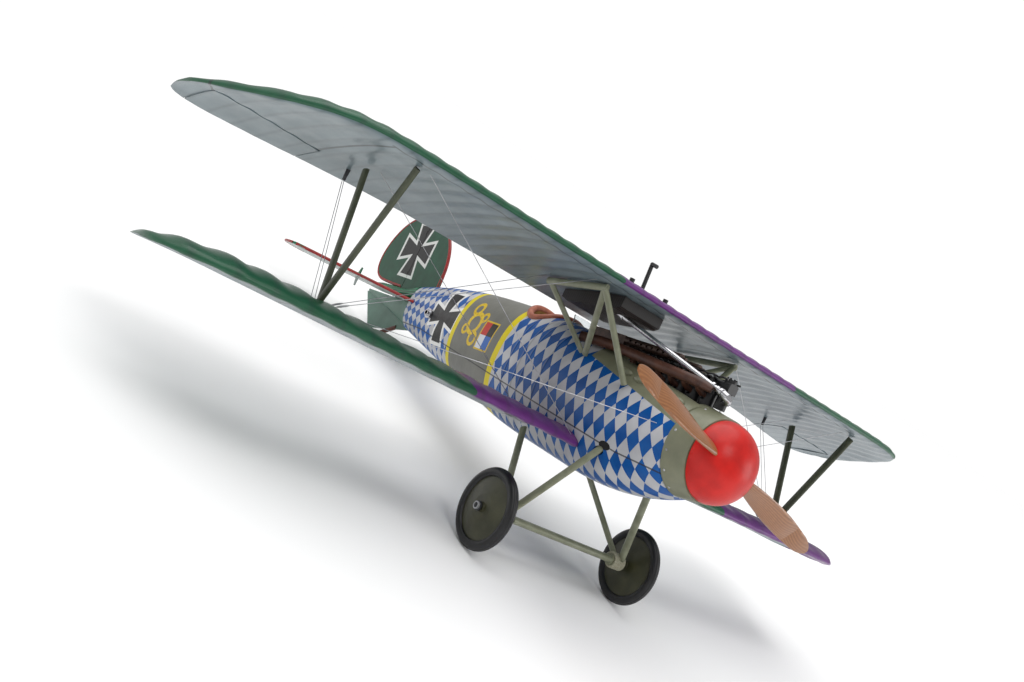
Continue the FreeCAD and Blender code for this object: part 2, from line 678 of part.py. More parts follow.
# Landing gear: two V legs, a cross axle in a streamlined spreader, and disc wheels
gear_rear_top = (27.5, 153.0, -29.5)
gear_rear_foot = (50.0, 111.0, -77.0)
foot_block = rod((43.2, wheel_y, wheel_z), (55.5, wheel_y, wheel_z), 3.6)
leg = flat_bar(gear_front_top, gear_front_foot, 5.6, 3.0)
leg = leg.fuse(flat_bar(gear_rear_top, gear_rear_foot, 5.0, 2.8))
leg = leg.fuse(foot_block)
leg = leg.fuse(flat_bar((50.0, 103.5, -77.0), (50.0, 107.2, -80.2), 4.4, 4.2, (0, 0, 1)))
leg = leg.fuse(flat_bar((50.0, 111.0, -77.0), (50.0, 107.2, -80.2), 4.4, 4.2, (0, 0, 1)))
leg = leg.cut(rod((-80, wheel_y, wheel_z), (80, wheel_y, wheel_z), axle_radius)).cut(half_lower)
leg = leg.removeSplitter()
save(leg, "gear_leg_port")
save(mirror(leg), "gear_leg_starboard")
axle_half = 71.0
save(rod((-axle_half, wheel_y, wheel_z), (axle_half, wheel_y, wheel_z), axle_radius), "axle")
spreader = flat_bar((-43.0, wheel_y, wheel_z), (43.0, wheel_y, wheel_z), 8.4, 4.6)
spreader = spreader.cut(rod((-80, wheel_y, wheel_z), (80, wheel_y, wheel_z), axle_radius))
save(spreader, "spreader_bar")


def wheel_profile_solid(points):
    """Solid of revolution about the axle from (radius, offset) points."""
    corners = [vec(wheel_x + offset, wheel_y, wheel_z + radius) for radius, offset in points]
    face = Part.Face(Part.makePolygon(corners + corners[:1]))
    return face.revolve(vec(wheel_x, wheel_y, wheel_z), vec(1, 0, 0), 360)


wheel_bore = axle_radius + running_gap
disc = wheel_profile_solid([(wheel_bore, 5.2), (3.0, 5.2), (3.2, 4.3), (8.0, 3.9), (19.4, 1.5), (19.4, -1.5),
                            (8.0, -3.9), (3.2, -4.3), (3.0, -5.4), (wheel_bore, -5.4)])
tyre = Part.makeTorus(wheel_radius - 3.1, 3.1, vec(wheel_x, wheel_y, wheel_z), vec(1, 0, 0)).cut(disc)
save(disc, "wheel_disc_port")
save(mirror(disc), "wheel_disc_starboard")
save(tyre, "tyre_port")
save(mirror(tyre), "tyre_starboard")
hub_nut = rod((wheel_x + 5.6, wheel_y, wheel_z), (axle_half, wheel_y, wheel_z), 2.3)
hub_nut = hub_nut.cut(rod((0, wheel_y, wheel_z), (80, wheel_y, wheel_z), axle_radius))
save(Part.makeCompound([hub_nut, mirror(hub_nut)]), "hub_nuts")

# Engine: crankcase, six cylinders, cam cover and exhaust
cylinder_pitch = 11.6
cylinder_first_y = 47.0
cylinder_top_z = 37.5
crankcase = block(-8.5, 8.5, 41.5, 112, 9.6, 23.0)
save(crankcase.makeFillet(2.0, [e for e in crankcase.Edges if abs(e.tangentAt(e.FirstParameter).y) > 0.9]),
     "crankcase")
cylinders = []
for i in range(6):
    cy = cylinder_first_y + i * cylinder_pitch
    barrel = rod((0, cy, 23.0), (0, cy, cylinder_top_z), 4.9)
    for flange_z in (25.0, 34.5):
        barrel = barrel.fuse(rod((0, cy, flange_z), (0, cy, flange_z + 1.4), 5.5))
    cylinders.append(barrel.removeSplitter())
save(Part.makeCompound(cylinders), "cylinders")
cam_cover = block(-3.6, 3.6, 32.5, 112.0, cylinder_top_z, 43.5)
cam_cover = cam_cover.makeFillet(1.6, [e for e in cam_cover.Edges
                                       if abs(e.tangentAt(e.FirstParameter).y) > 0.9 and e.CenterOfMass.z > 41])
for i in range(6):
    cy = cylinder_first_y + i * cylinder_pitch
    cam_cover = cam_cover.fuse(block(-4.6, 4.6, cy - 2.6, cy + 2.6, cylinder_top_z, 41.4))
gear_tower = rod((0, 36.5, 27.4), (0, 36.5, 45.5), 3.6)
cam_cover = cam_cover.fuse(gear_tower).removeSplitter()
save(cam_cover, "cam_cover")
exhaust_x = -13.4
exhaust_z = 36.6
exhaust_radius = 2.3
exhaust = rod((exhaust_x, 44.0, exhaust_z), (exhaust_x - 1.0, 119.0, exhaust_z + 2.6), exhaust_radius)
exhaust = exhaust.fuse(Part.makeSphere(exhaust_radius, vec(exhaust_x - 1.0, 119.0, exhaust_z + 2.6)))
exhaust = exhaust.fuse(Part.makeSphere(exhaust_radius, vec(exhaust_x, 44.0, exhaust_z)))
exhaust = exhaust.fuse(rod((exhaust_x - 1.0, 119.0, exhaust_z + 2.6), (-24.8, 141.0, 37.8), exhaust_radius))
for i in range(6):
    cy = cylinder_first_y + i * cylinder_pitch
    stub_z = exhaust_z + (cy - 44.0) * 0.035
    exhaust = exhaust.fuse(rod((-4.0, cy, 32.0), (exhaust_x, cy, stub_z), 1.5))
exhaust = exhaust.cut(Part.makeCompound(cylinders))
tail_bore = vec(-24.8, 141.0, 37.8) - vec(exhaust_x - 1.0, 119.0, exhaust_z + 2.6)
exhaust = exhaust.cut(Part.makeCylinder(exhaust_radius - 0.6, 12.0, vec(-24.8, 141.0, 37.8) - tail_bore * 0.4,
                                        tail_bore))
save(exhaust.removeSplitter(), "exhaust_manifold")
pipe_low = (2.0, 30.0, 36.0)
pipe_high = (-30.0, 116.0, 58.0)
coolant_pipe = rod(pipe_low, pipe_high, 1.25)
coolant_pipe = coolant_pipe.fuse(Part.makeSphere(2.0, vec(*pipe_low))).cut(cam_cover)
coolant_pipe = coolant_pipe.cut(rod((0, 36.5, 20), (0, 36.5, 60), 3.6))

louvres = []
for i in range(4):
    ly = 50.0 + i * 15.5
    lx = 19.5 + i * 0.6
    scoop = Part.makeSphere(2.6, vec(0, 0, 0))
    stretch = FreeCAD.Matrix()
    stretch.scale(1.0, 2.5, 0.9)
    scoop = scoop.transformGeometry(stretch)
    scoop.translate(vec(lx, ly, hull_top(lx, ly) + 0.2))
    scoop = scoop.cut(hull_outer).translated(vec(0, 0, 0.03))
    louvres.append(scoop)
    louvres.append(mirror(scoop))
save(Part.makeCompound(louvres), "cowl_louvres")


# Two fixed guns beside the cam cover, each with a pierced jacket
def gun(x):
    jacket_z = 47.0
    jacket = rod((x, 71.5, jacket_z), (x, 121.0, jacket_z), 2.6)
    for i in range(9):
        gy = 75.0 + i * 5.1
        jacket = jacket.cut(rod((x - 4, gy, jacket_z), (x + 4, gy, jacket_z), 0.9))
        jacket = jacket.cut(rod((x, gy + 2.7, jacket_z - 4), (x, gy + 2.7, jacket_z + 4), 0.9))
    barrel = rod((x, 67.5, jacket_z), (x, 71.5, jacket_z), 1.1)
    receiver = block(x - 2.5, x + 2.5, 121.0, 152.0, jacket_z - 5.2, jacket_z + 2.4)
    return fuse_all([jacket, barrel, receiver])


save(gun(-8.4), "gun_starboard")
save(gun(8.4), "gun_port")

# Wing radiator hung under the centre section, its filler pipe and the coolant pipe
radiator = prism([(100.0, 70.0), (100.0, 59.6), (104.0, 57.6), (150.0, 53.6), (156.0, 55.4), (156.0, 70.0)],
                 -43.0, -8.0).cut(upper_wing)
radiator = min(radiator.Solids, key=lambda solid: solid.CenterOfMass.z)
save(radiator, "radiator")
coolant_pipe = coolant_pipe.cut(radiator)
coolant_pipe = max(coolant_pipe.Solids, key=lambda solid: solid.Volume)
save(coolant_pipe, "coolant_pipe")
filler_foot = (-20.0, 115.5, 70.0)
filler_knee = (-20.0, 117.5, 95.0)
filler = rod(filler_foot, filler_knee, 1.3).fuse(Part.makeSphere(1.3, vec(*filler_knee)))
filler = filler.fuse(rod(filler_knee, (-20.0, 112.5, 94.0), 1.3)).cut(upper_wing)
filler = max(filler.Solids, key=lambda solid: solid.CenterOfMass.z)
filler_pieces = [filler.removeSplitter()]
for stud_x in (-50.8, -20.5):
    stud = rod((stud_x, 92.0, 70.0), (stud_x, 92.0, 75.6), 1.6).cut(upper_wing)
    filler_pieces.append(max(stud.Solids, key=lambda solid: solid.CenterOfMass.z))
save(Part.makeCompound(filler_pieces), "filler_pipe")

# Cockpit: floor, seat and windscreen
floor = block(-40, 40, 172.0, 234.0, 17.0, 18.4).common(hull_fitting)
save(floor, "cockpit_floor")
back = block(-9.5, 9.5, 215.5, 219.0, 20.0, 37.0)
seat = block(-9.5, 9.5, 198.0, 219.0, 18.4, 23.4).fuse(back)
seat = seat.cut(block(-7.0, 7.0, 200.0, 215.5, 20.8, 24.0)).removeSplitter()
save(seat, "seat")
screen = prism([(176.0, 46.0), (177.2, 46.0), (179.2, 52.6), (178.0, 52.6)], -9.0, 9.0)
save(screen.cut(hull_outer).cut(coaming), "windscreen")


# Rigging: flying, landing and drag wires on each side, and the aileron cables
def wire_between(start, end):
    """Wire on the port side, trimmed where it meets the wings and the hull."""
    line = rod(start, end, wire_radius)
    line = line.cut(half_lower).cut(upper_wing).cut(hull_outer)
    return max(line.Solids, key=lambda solid: solid.Volume)


wire_foot = (199.0, 130.5, -18.0)
wires = [
    wire_between((24.0, 106.0, -24.0), (196.5, 100.0, 67.0)),
    wire_between((26.0, 158.0, -26.0), (196.5, 149.0, 62.0)),
    wire_between(wire_foot, (65.5, 101.0, 67.0)),
    wire_between((199.0, 135.5, -18.0), (65.5, 145.5, 62.0)),
    wire_between((199.0, 126.0, -18.0), (22.0, 46.0, 6.0)),
]
save(Part.makeCompound(wires + [mirror(wire) for wire in wires]), "rigging_wires")
lever_low_z = hinge_z - 8.5
cables = [
    wire_between((crank_x, axis_y - 1.2, lever_low_z - 0.5), (204.6, 132.5, -19.0)),
    wire_between((crank_x, axis_y + 1.2, lever_low_z - 0.5), (204.6, 137.5, -19.0)),
]
save(Part.makeCompound(cables + [mirror(cable) for cable in cables]), "aileron_cables")
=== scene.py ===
import math

import bmesh
import bpy
import numpy as np
from mathutils import Matrix, Vector


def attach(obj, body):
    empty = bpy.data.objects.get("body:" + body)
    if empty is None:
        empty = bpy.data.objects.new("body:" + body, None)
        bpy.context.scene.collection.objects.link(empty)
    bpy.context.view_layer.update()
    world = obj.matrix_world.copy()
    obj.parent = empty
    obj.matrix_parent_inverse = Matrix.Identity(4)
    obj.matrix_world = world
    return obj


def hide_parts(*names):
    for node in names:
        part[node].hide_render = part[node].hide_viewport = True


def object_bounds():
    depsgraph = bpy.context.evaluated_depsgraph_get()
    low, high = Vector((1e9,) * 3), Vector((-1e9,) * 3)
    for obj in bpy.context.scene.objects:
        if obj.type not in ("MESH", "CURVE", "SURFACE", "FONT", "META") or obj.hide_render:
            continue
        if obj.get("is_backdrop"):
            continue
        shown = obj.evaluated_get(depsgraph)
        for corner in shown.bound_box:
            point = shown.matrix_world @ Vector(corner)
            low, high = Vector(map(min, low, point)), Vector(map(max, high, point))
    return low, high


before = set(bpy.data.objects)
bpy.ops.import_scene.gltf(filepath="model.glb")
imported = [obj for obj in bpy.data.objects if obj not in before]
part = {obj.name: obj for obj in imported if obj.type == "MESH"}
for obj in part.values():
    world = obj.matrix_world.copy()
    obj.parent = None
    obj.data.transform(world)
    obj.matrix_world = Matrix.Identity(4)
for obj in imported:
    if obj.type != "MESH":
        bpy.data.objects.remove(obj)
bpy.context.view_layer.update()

# Studio. A pale floor under a white surround, a soft box off the starboard bow, one off the port
# bow and a wide overhead sun. The model stands tail down, so aircraft places are turned first.
ground_angle = math.radians(15.85)
stance_shift = (0.0, -0.2343, 0.1315)


def stance(points):
    """Aircraft places (x port, y aft, z up, in mm) turned tail down about X, then shifted, in metres."""
    p = np.asarray(points, float) / 1000
    c = math.cos(ground_angle)
    s = math.sin(ground_angle)
    turned = np.stack([p[..., 0], p[..., 1] * c + p[..., 2] * s, p[..., 2] * c - p[..., 1] * s], -1)
    return turned + np.array(stance_shift)


def linear(colour):
    """An sRGB hex colour such as '#8a979c' as linear RGBA."""
    parts = np.array([int(colour[i:i + 2], 16) for i in (1, 3, 5)]) / 255
    bright = np.where(parts <= 0.04045, parts / 12.92, ((parts + 0.055) / 1.055) ** 2.4)
    return (*bright, 1.0)


def add(tree, kind, *inputs, **settings):
    """Adds a shader node with its settings and returns its outputs. Inputs are sockets or values in
    order, or one dict of them by name or place."""
    made = tree.nodes.new("ShaderNode" + kind)
    for key, value in settings.items():
        setattr(made, key, value)
    named = inputs[0] if inputs and isinstance(inputs[0], dict) else dict(enumerate(inputs))
    for key, value in named.items():
        if isinstance(value, bpy.types.NodeSocket):
            tree.links.new(value, made.inputs[key])
        else:
            made.inputs[key].default_value = value
    return made.outputs


def finish(name, **uniform):
    """A new material: its tree, its shader with the uniform values set, and aircraft places in mm."""
    material = bpy.data.materials.new(name)
    material.use_nodes = True
    tree = material.node_tree
    shader = tree.nodes["Principled BSDF"]
    for key, value in uniform.items():
        shader.inputs[key.replace("_", " ")].default_value = value
    where = add(tree, "TexCoord")["Object"]
    back = [-value * 1000 for value in stance_shift]
    moved = add(tree, "Mapping", {0: where, "Location": back, "Scale": (1000, 1000, 1000)})
    turned = add(tree, "Mapping", {0: moved[0], "Rotation": (ground_angle, 0, 0)})
    return material, tree, shader, turned[0]


camera = bpy.data.objects.new("camera", bpy.data.cameras.new("camera"))
bpy.context.scene.collection.objects.link(camera)
bpy.context.scene.camera = camera
camera.data.sensor_width = 36.0
camera.data.lens = 38.45
camera.data.clip_start = 0.01
camera.data.clip_end = 50.0
camera_heading = math.radians(36.416)
camera_pitch = math.radians(-9.315)
camera_roll = math.radians(35.12)
camera.location = stance((-456.4, -387.2, -25.7))
camera.rotation_mode = "QUATERNION"
level_view = Vector((math.sin(camera_heading) * math.cos(camera_pitch),
                     math.cos(camera_heading) * math.cos(camera_pitch), math.sin(camera_pitch)))
level_turn = level_view.to_track_quat("-Z", "Y")
camera.rotation_quaternion = level_turn @ Matrix.Rotation(camera_roll, 4, "Z").to_quaternion()

floor_mesh = bpy.data.meshes.new("floor")
floor_half = 12.0
floor_mesh.from_pydata([(-floor_half, -floor_half, 0), (floor_half, -floor_half, 0),
                        (floor_half, floor_half, 0), (-floor_half, floor_half, 0)], [], [(0, 1, 2, 3)])
floor = bpy.data.objects.new("floor", floor_mesh)
bpy.context.scene.collection.objects.link(floor)
floor_white, tree, shader, place = finish("floor_paper", Roughness=0.9)
shader.inputs["Base Color"].default_value = linear("#fbfbfb")
floor_mesh.materials.append(floor_white)
floor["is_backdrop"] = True

world = bpy.data.worlds.new("surround")
bpy.context.scene.world = world
world.use_nodes = True
surround = world.node_tree.nodes["Background"]
surround.inputs["Color"].default_value = linear("#ffffff")
sight = add(world.node_tree, "LightPath")["Is Camera Ray"]
seen = add(world.node_tree, "Math", sight, 0.72, 0.48, operation="MULTIPLY_ADD")[0]
world.node_tree.links.new(seen, surround.inputs["Strength"])


def soft_box(name, place, aim, size, watts):
    """Square soft light at place, turned to aim, both in metres."""
    lamp = bpy.data.lights.new(name, "AREA")
    lamp.size = size
    lamp.energy = watts
    box = bpy.data.objects.new(name, lamp)
    box.location = place
    box.rotation_mode = "QUATERNION"
    box.rotation_quaternion = (Vector(aim) - Vector(place)).to_track_quat("-Z", "Y")
    bpy.context.scene.collection.objects.link(box)


soft_box("key", (-0.35, -1.2, 1.3), (0, 0, 0.1), 0.6, 5.0)
soft_box("side", (1.1, -0.9, 0.5), (0, 0, 0.1), 0.6, 3.5)
roof = bpy.data.lights.new("roof", "SUN")
roof.energy = 2.0
roof.angle = math.radians(70.0)
roof_lamp = bpy.data.objects.new("roof", roof)
roof_lamp.rotation_euler = (math.radians(-18.0), math.radians(-12.0), 0.0)
bpy.context.scene.collection.objects.link(roof_lamp)
bpy.context.scene.view_settings.view_transform = "Standard"

# Wing cloth. Doped linen over close ribs: satin paint, a fine weave, a sag between ribs, and
# painted shade along the rib tapes. Green and violet bands above, pale blue grey below.
cloth_green = "#174d33"
cloth_violet = "#5f2a70"


def speckle(tree, place, size_mm, low=0.0, high=1.0, detail=3.0):
    """Soft random spots about size_mm across, from low to high."""
    noise = add(tree, "TexNoise", {"Vector": place, "Scale": 1 / size_mm, "Detail": detail})
    spread = add(tree, "MapRange", {0: noise[0], 1: 0.3, 2: 0.7, 3: low, 4: high})
    return spread[0]


def wing_cloth(name, violet_from, violet_to, seams):
    """Band colours by station; seams are straight dark joints, each (x0, y0, x1, y1) in mm."""
    material, tree, shader, place = finish(name, Roughness=0.42, Coat_Weight=0.25, Coat_Roughness=0.18)
    shader.inputs["Specular IOR Level"].default_value = 0.3
    axes = add(tree, "SeparateXYZ", {0: place})
    wander = speckle(tree, place, 18.0, -2.0, 2.0)
    slant = add(tree, "Math", axes["Y"], 0.35, -35.0, operation="MULTIPLY_ADD")[0]
    station = add(tree, "Math", add(tree, "Math", axes["X"], wander, operation="ADD")[0], slant,
                  operation="ADD")[0]
    inside = add(tree, "Math", add(tree, "Math", station, violet_from, operation="GREATER_THAN")[0],
                 add(tree, "Math", station, violet_to, operation="LESS_THAN")[0], operation="MULTIPLY")[0]
    upper = add(tree, "MixRGB", inside, linear(cloth_green), linear(cloth_violet))[0]
    worn = speckle(tree, place, 9.0, 0.0, 0.35)
    upper = add(tree, "MixRGB", worn, upper, add(tree, "MixRGB", inside, linear("#28664a"),
                                                 linear("#7a3c8a"))[0])[0]
    lower = add(tree, "MixRGB", speckle(tree, place, 30.0, 0.0, 1.0), linear("#66757a"),
                linear("#7e8c92"))[0]
    side = add(tree, "Attribute", attribute_name="above")["Fac"]
    colour = add(tree, "MixRGB", add(tree, "Math", side, 0.0, operation="GREATER_THAN")[0], lower, upper)[0]
    # Painted shade: the cloth is darkened along each rib tape.
    tape = add(tree, "Attribute", attribute_name="tape")["Fac"]
    colour = add(tree, "MixRGB", add(tree, "Math", tape, 0.3, operation="MULTIPLY")[0], colour,
                 linear("#2a3436"))[0]
    for x0, y0, x1, y1 in seams:
        length = math.hypot(x1 - x0, y1 - y0)
        along = ((x1 - x0) / length, (y1 - y0) / length)
        shift = -(x0 * along[0] + y0 * along[1])
        run = add(tree, "Math", add(tree, "Math", axes["X"], along[0],
                                    add(tree, "Math", axes["Y"], along[1], operation="MULTIPLY")[0],
                                    operation="MULTIPLY_ADD")[0], shift, operation="ADD")[0]
        off = add(tree, "Math", axes["X"], -along[1],
                  add(tree, "Math", axes["Y"], along[0], operation="MULTIPLY")[0],
                  operation="MULTIPLY_ADD")[0]
        off = add(tree, "Math", add(tree, "Math", off, x0 * along[1] - y0 * along[0], operation="ADD")[0],
                  operation="ABSOLUTE")[0]
        on_run = add(tree, "Math", run, length / 2, length / 2, operation="COMPARE")[0]
        seam = add(tree, "Math", add(tree, "Math", off, 0.8, operation="LESS_THAN")[0], on_run,
                   operation="MULTIPLY")[0]
        colour = add(tree, "MixRGB", add(tree, "Math", seam, 0.75, operation="MULTIPLY")[0], colour,
                     linear("#1c2426"))[0]
    tree.links.new(colour, shader.inputs["Base Color"])
    weave = add(tree, "TexWave", {"Vector": place, "Scale": 0.45, "Distortion": 0.3}, bands_direction="X")
    weft = add(tree, "TexWave", {"Vector": place, "Scale": 0.45, "Distortion": 0.3}, bands_direction="Y")
    height = add(tree, "Math", weave["Fac"], weft["Fac"], operation="ADD")[0]
    height = add(tree, "Math", speckle(tree, place, 6.0), 2.0, height, operation="MULTIPLY_ADD")[0]
    bump = add(tree, "Bump", {"Height": height, "Distance": 0.00003, "Strength": 0.6})[0]
    tree.links.new(bump, shader.inputs["Normal"])
    rough = add(tree, "Math", worn, 0.25, 0.36, operation="MULTIPLY_ADD")[0]
    tree.links.new(rough, shader.inputs["Roughness"])
    return material


def section_height(u):
    """Upper and lower height of the wing section, in parts of the chord, at share u of the chord:
    the root of u times one minus u times a polynomial in u, plus a thin wedge for the rear edge."""
    root = np.sqrt(u) * (1 - u)
    top = root * (0.178 + 0.108 * u - 0.270 * u ** 2 + 0.293 * u ** 3 - 0.120 * u ** 4) + 0.003 * u
    low = root * (-0.103 + 0.747 * u - 1.737 * u ** 2 + 2.020 * u ** 3 - 0.865 * u ** 4) - 0.003 * u
    return top, low


def wing_stations(ribs, per_bay, extra=()):
    """Span stations: every rib and per_bay steps between ribs, with any extra stations."""
    steps = [np.linspace(a, b, per_bay + 1)[:-1] for a, b in zip(ribs, ribs[1:])]
    return np.unique(np.concatenate(steps + [np.array([ribs[-1]]), np.array(extra, float)]))


def surface(name, points, tone=None, close_ends=True):
    """Closed skin over a grid of rings: points is rings by places by 3 in aircraft mm, each ring
    running round the piece. The end rings are closed by one face each. tone maps a name to a
    value for every point, kept as a mesh attribute."""
    rings, around = points.shape[:2]
    index = np.arange(rings * around).reshape(rings, around)
    near = index[:-1]
    far = index[1:]
    quads = np.stack([near, np.roll(near, -1, 1), np.roll(far, -1, 1), far], -1).reshape(-1, 4)
    faces = quads.tolist()
    if close_ends:
        faces += [index[0, ::-1].tolist(), index[-1].tolist()]
    mesh = bpy.data.meshes.new(name)
    mesh.from_pydata(stance(points.reshape(-1, 3)).tolist(), [], faces)
    for key, value in (tone or {}).items():
        layer = mesh.attributes.new(key, "FLOAT", "POINT")
        layer.data.foreach_set("value", np.ascontiguousarray(value, np.float32).ravel())
    tidy = bmesh.new()
    tidy.from_mesh(mesh)
    bmesh.ops.remove_doubles(tidy, verts=tidy.verts, dist=0.00002)
    bmesh.ops.dissolve_degenerate(tidy, edges=tidy.edges, dist=0.00001)
    bmesh.ops.recalc_face_normals(tidy, faces=tidy.faces)
    tidy.to_mesh(mesh)
    tidy.free()
    shape = bpy.data.objects.new(name, mesh)
    bpy.context.scene.collection.objects.link(shape)
    return shape


def dress(shape, material, body, slot, *nodes, smooth_angle=40.0):
    """Finish, smooth shading, body and the CAD nodes that a new piece stands for. The slot is not used."""
    shape.data.materials.append(material)
    shape.data.shade_smooth()
    shape.data.set_sharp_from_angle(angle=math.radians(smooth_angle))
    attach(shape, body)
    if nodes:
        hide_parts(*nodes)
    return shape


def wing_skin(name, stations, nose, tail, nose_z, slope, fatness, ribs, sag, scallop, wrap_mm,
              front_limit=None, rear_limit=None):
    """Covered wing panel. Each station has one closed section: the section formula stretched from
    nose to tail, dropped by slope with the distance aft. Between ribs the cloth sinks by sag times
    the squared sine of the place in the bay, and the rear edge curves in by scallop. Points past
    a limit stop on it, which makes the straight spar face of a cut-out."""
    stations = np.asarray(stations, float)
    u = (1 - np.cos(np.linspace(0, math.pi, 44))) / 2
    bay = np.interp(stations, ribs, np.arange(len(ribs)))
    hollow = np.sin(math.pi * bay) ** 2
    chord = (tail - nose)[:, None]
    reach = nose[:, None] + u[None] * chord
    pull = np.where(rear_limit is None, scallop, 0.0) * hollow[:, None] * u[None] ** 6
    top, low = section_height(u)
    sink = sag * hollow[:, None] * np.sin(math.pi * np.clip(u, 0, 1) ** 0.7)[None] ** 0.8
    height = nose_z[:, None] - (reach - nose[:, None]) * slope
    upper = height + top[None] * chord * fatness - sink
    lower = height + low[None] * chord * fatness + sink * 0.8
    reach = reach - pull
    y = np.concatenate([reach[:, ::-1], reach[:, 1:]], 1)
    z = np.concatenate([upper[:, ::-1], lower[:, 1:]], 1)
    wrap = np.concatenate([u[::-1] * chord + wrap_mm, wrap_mm - u[1:] * chord], 1)
    if front_limit is not None:
        y, z = clamp_to(y, z, front_limit[:, None], len(u), 1)
    if rear_limit is not None:
        y, z = clamp_to(y, z, rear_limit[:, None], len(u), -1)
    x = np.broadcast_to(stations[:, None], y.shape)
    on_rib = np.where(hollow < 0.01, 1.0, 0.0)
    tone = {"above": wrap, "tape": np.broadcast_to(on_rib[:, None], y.shape)}
    return surface(name, np.stack([x, y, z], -1), tone)


def clamp_to(y, z, limit, count, keep):
    """Slides the points beyond a spanwise line on to it, at the height the skin has there."""
    top_y = y[:, :count][:, ::-1]
    top_z = z[:, :count][:, ::-1]
    low_y = np.concatenate([top_y[:, :1], y[:, count:]], 1)
    low_z = np.concatenate([top_z[:, :1], z[:, count:]], 1)
    parts = []
    for part_y, part_z in ((top_y, top_z), (low_y, low_z)):
        at = np.array([np.interp(edge[0], row, rise) for edge, row, rise in zip(limit, part_y, part_z)])
        beyond = (part_y - limit) * keep < 0
        parts.append((np.where(beyond, limit, part_y), np.where(beyond, at[:, None], part_z)))
    y_out = np.concatenate([parts[0][0][:, ::-1], parts[1][0][:, 1:]], 1)
    z_out = np.concatenate([parts[0][1][:, ::-1], parts[1][1][:, 1:]], 1)
    return y_out, z_out

# Upper wing. One full-span panel, 601 mm, raked tips, with a bay cut out behind the rear spar
# at each side for the aileron. The radiator hangs from its centre.
upper_slope = math.tan(math.radians(7.4))
upper_x = np.array([0, 75, 150, 190, 215, 232, 246, 258, 269, 279, 288, 294, 298, 299.8, 300.4])
upper_nose = np.array([80, 80, 80, 80, 80.5, 82.5, 87.5, 98, 114.5, 133.5, 152, 164, 174, 181, 188.0])
upper_tail = np.array([187, 187, 189.5, 195.5, 201, 206, 209.5, 212, 214.5, 215.8, 215, 212.5, 208.5, 204,
                       198.0])
aileron_inner = 222.0
aileron_outer = 287.0
hinge_line = 175.0


def upper_lines(stations):
    """Nose, tail, height of the nose and fatness at each span station."""
    out = np.abs(stations)
    nose = np.interp(out, upper_x, upper_nose)
    tail = np.interp(out, upper_x, upper_tail)
    fat = np.where(out < 250, 1.0, 1.0 + (out - 250) * 0.004)[:, None]
    return nose, tail, 69.1 - (nose - 80) * upper_slope, fat


upper_ribs = np.concatenate([np.linspace(-300.4, -287.6, 2), np.linspace(-273, 273, 40),
                             np.linspace(287.6, 300.4, 2)])
upper_seams = [(-225, 90, 190, 90), (-223, 91, -223, 175), (223, 91, 223, 175), (-287, 176, -296, 160),
               (287, 176, 296, 160)]
upper_cloth = wing_cloth("doped_linen_upper", -72.0, 98.0, upper_seams)
gap = 0.6
cut_edges = [side * (edge + step) for side in (-1, 1) for edge in (aileron_inner - gap, aileron_outer + gap)
             for step in (-0.005, 0.005)]
upper_stations = wing_stations(upper_ribs, 7, cut_edges)
nose, tail, nose_z, fat = upper_lines(upper_stations)
in_bay = (np.abs(upper_stations) > aileron_inner - gap) & (np.abs(upper_stations) < aileron_outer + gap)
limit = np.where(in_bay, hinge_line - 1.6, 400.0)
upper_wing = wing_skin("upper_wing_skin", upper_stations, nose, tail, nose_z, upper_slope, fat, upper_ribs,
                       0.85, 0.6, 1.2, rear_limit=limit)
dress(upper_wing, upper_cloth, "airframe", "wing_cloth", "upper_wing")

# Ailerons. Cloth-covered flaps behind the rear spar, hung on two pins each. A crank lever on
# the torque tube stands in a slot by the V strut and takes the two control cables.
for side, word in ((1, "port"), (-1, "starboard")):
    flap_ribs = np.array([edge for edge in upper_ribs if aileron_inner < edge < aileron_outer])
    flap_ribs = np.concatenate([[aileron_inner], flap_ribs, [aileron_outer]])
    flap_stations = wing_stations(flap_ribs, 7) * side
    flap_stations.sort()
    nose, tail, nose_z, fat = upper_lines(flap_stations)
    front = np.full(len(flap_stations), hinge_line)
    flap = wing_skin("aileron_cloth_" + word, flap_stations, nose, tail, nose_z, upper_slope, fat,
                     np.sort(flap_ribs * side), 0.4, 0.6, 1.2, front_limit=front)
    dress(flap, upper_cloth, "aileron_" + word, "wing_cloth", "aileron_" + word)

# Lower wing panels. Narrower cloth-covered panels with wider bays and a wire trailing edge
# that the doped cloth pulls into scallops between ribs.
lower_slope = math.tan(math.radians(1.9))
lower_rise = math.tan(math.radians(0.7))
lower_x = np.array([26, 75, 150, 205, 236, 255, 268, 278, 285, 288.6, 290.6, 291.4])
lower_nose = np.array([101.1, 101.1, 101.1, 101.1, 103.0, 107, 115, 126, 137, 145, 152, 160.0])
lower_tail = np.array([186, 186, 187, 189.5, 193, 194.5, 195.0, 194, 191, 187, 182, 173.0])
lower_ribs = np.concatenate([np.linspace(26, 277, 14), [291.4]])
strap = [(side * 199, 112, side * 199, 185) for side in (-1, 1)]
lower_cloth = wing_cloth("doped_linen_lower", -108.0, -10.0, strap)
port_cloth = wing_cloth("doped_linen_lower_port", 118.0, 320.0, strap)
for side, word, cloth in ((1, "port", port_cloth), (-1, "starboard", lower_cloth)):
    ribs = np.sort(lower_ribs * side)
    stations = wing_stations(ribs, 8)
    out = np.abs(stations)
    nose = np.interp(out, lower_x, lower_nose)
    tail = np.interp(out, lower_x, lower_tail)
    droop = 1.8 * np.clip((out - 245) / 48, 0, 1) ** 2
    nose_z = -25.1 - (nose - 101.1) * lower_slope + out * lower_rise - droop
    panel = wing_skin("lower_wing_skin_" + word, stations, nose, tail, nose_z, lower_slope,
                      np.full((len(out), 1), 1.35), ribs, 1.3, 3.4, 24.0)
    dress(panel, cloth, "airframe", "wing_cloth", "lower_wing_" + word)

# Hull. Two moulded plywood halves, varnished over a printed lozenge film, with a grey band
# edged in yellow behind the seat, a plain cross aft of it and a lapped joint low on each side.
lozenge_pitch = 9.8
lozenges_round = 12.0


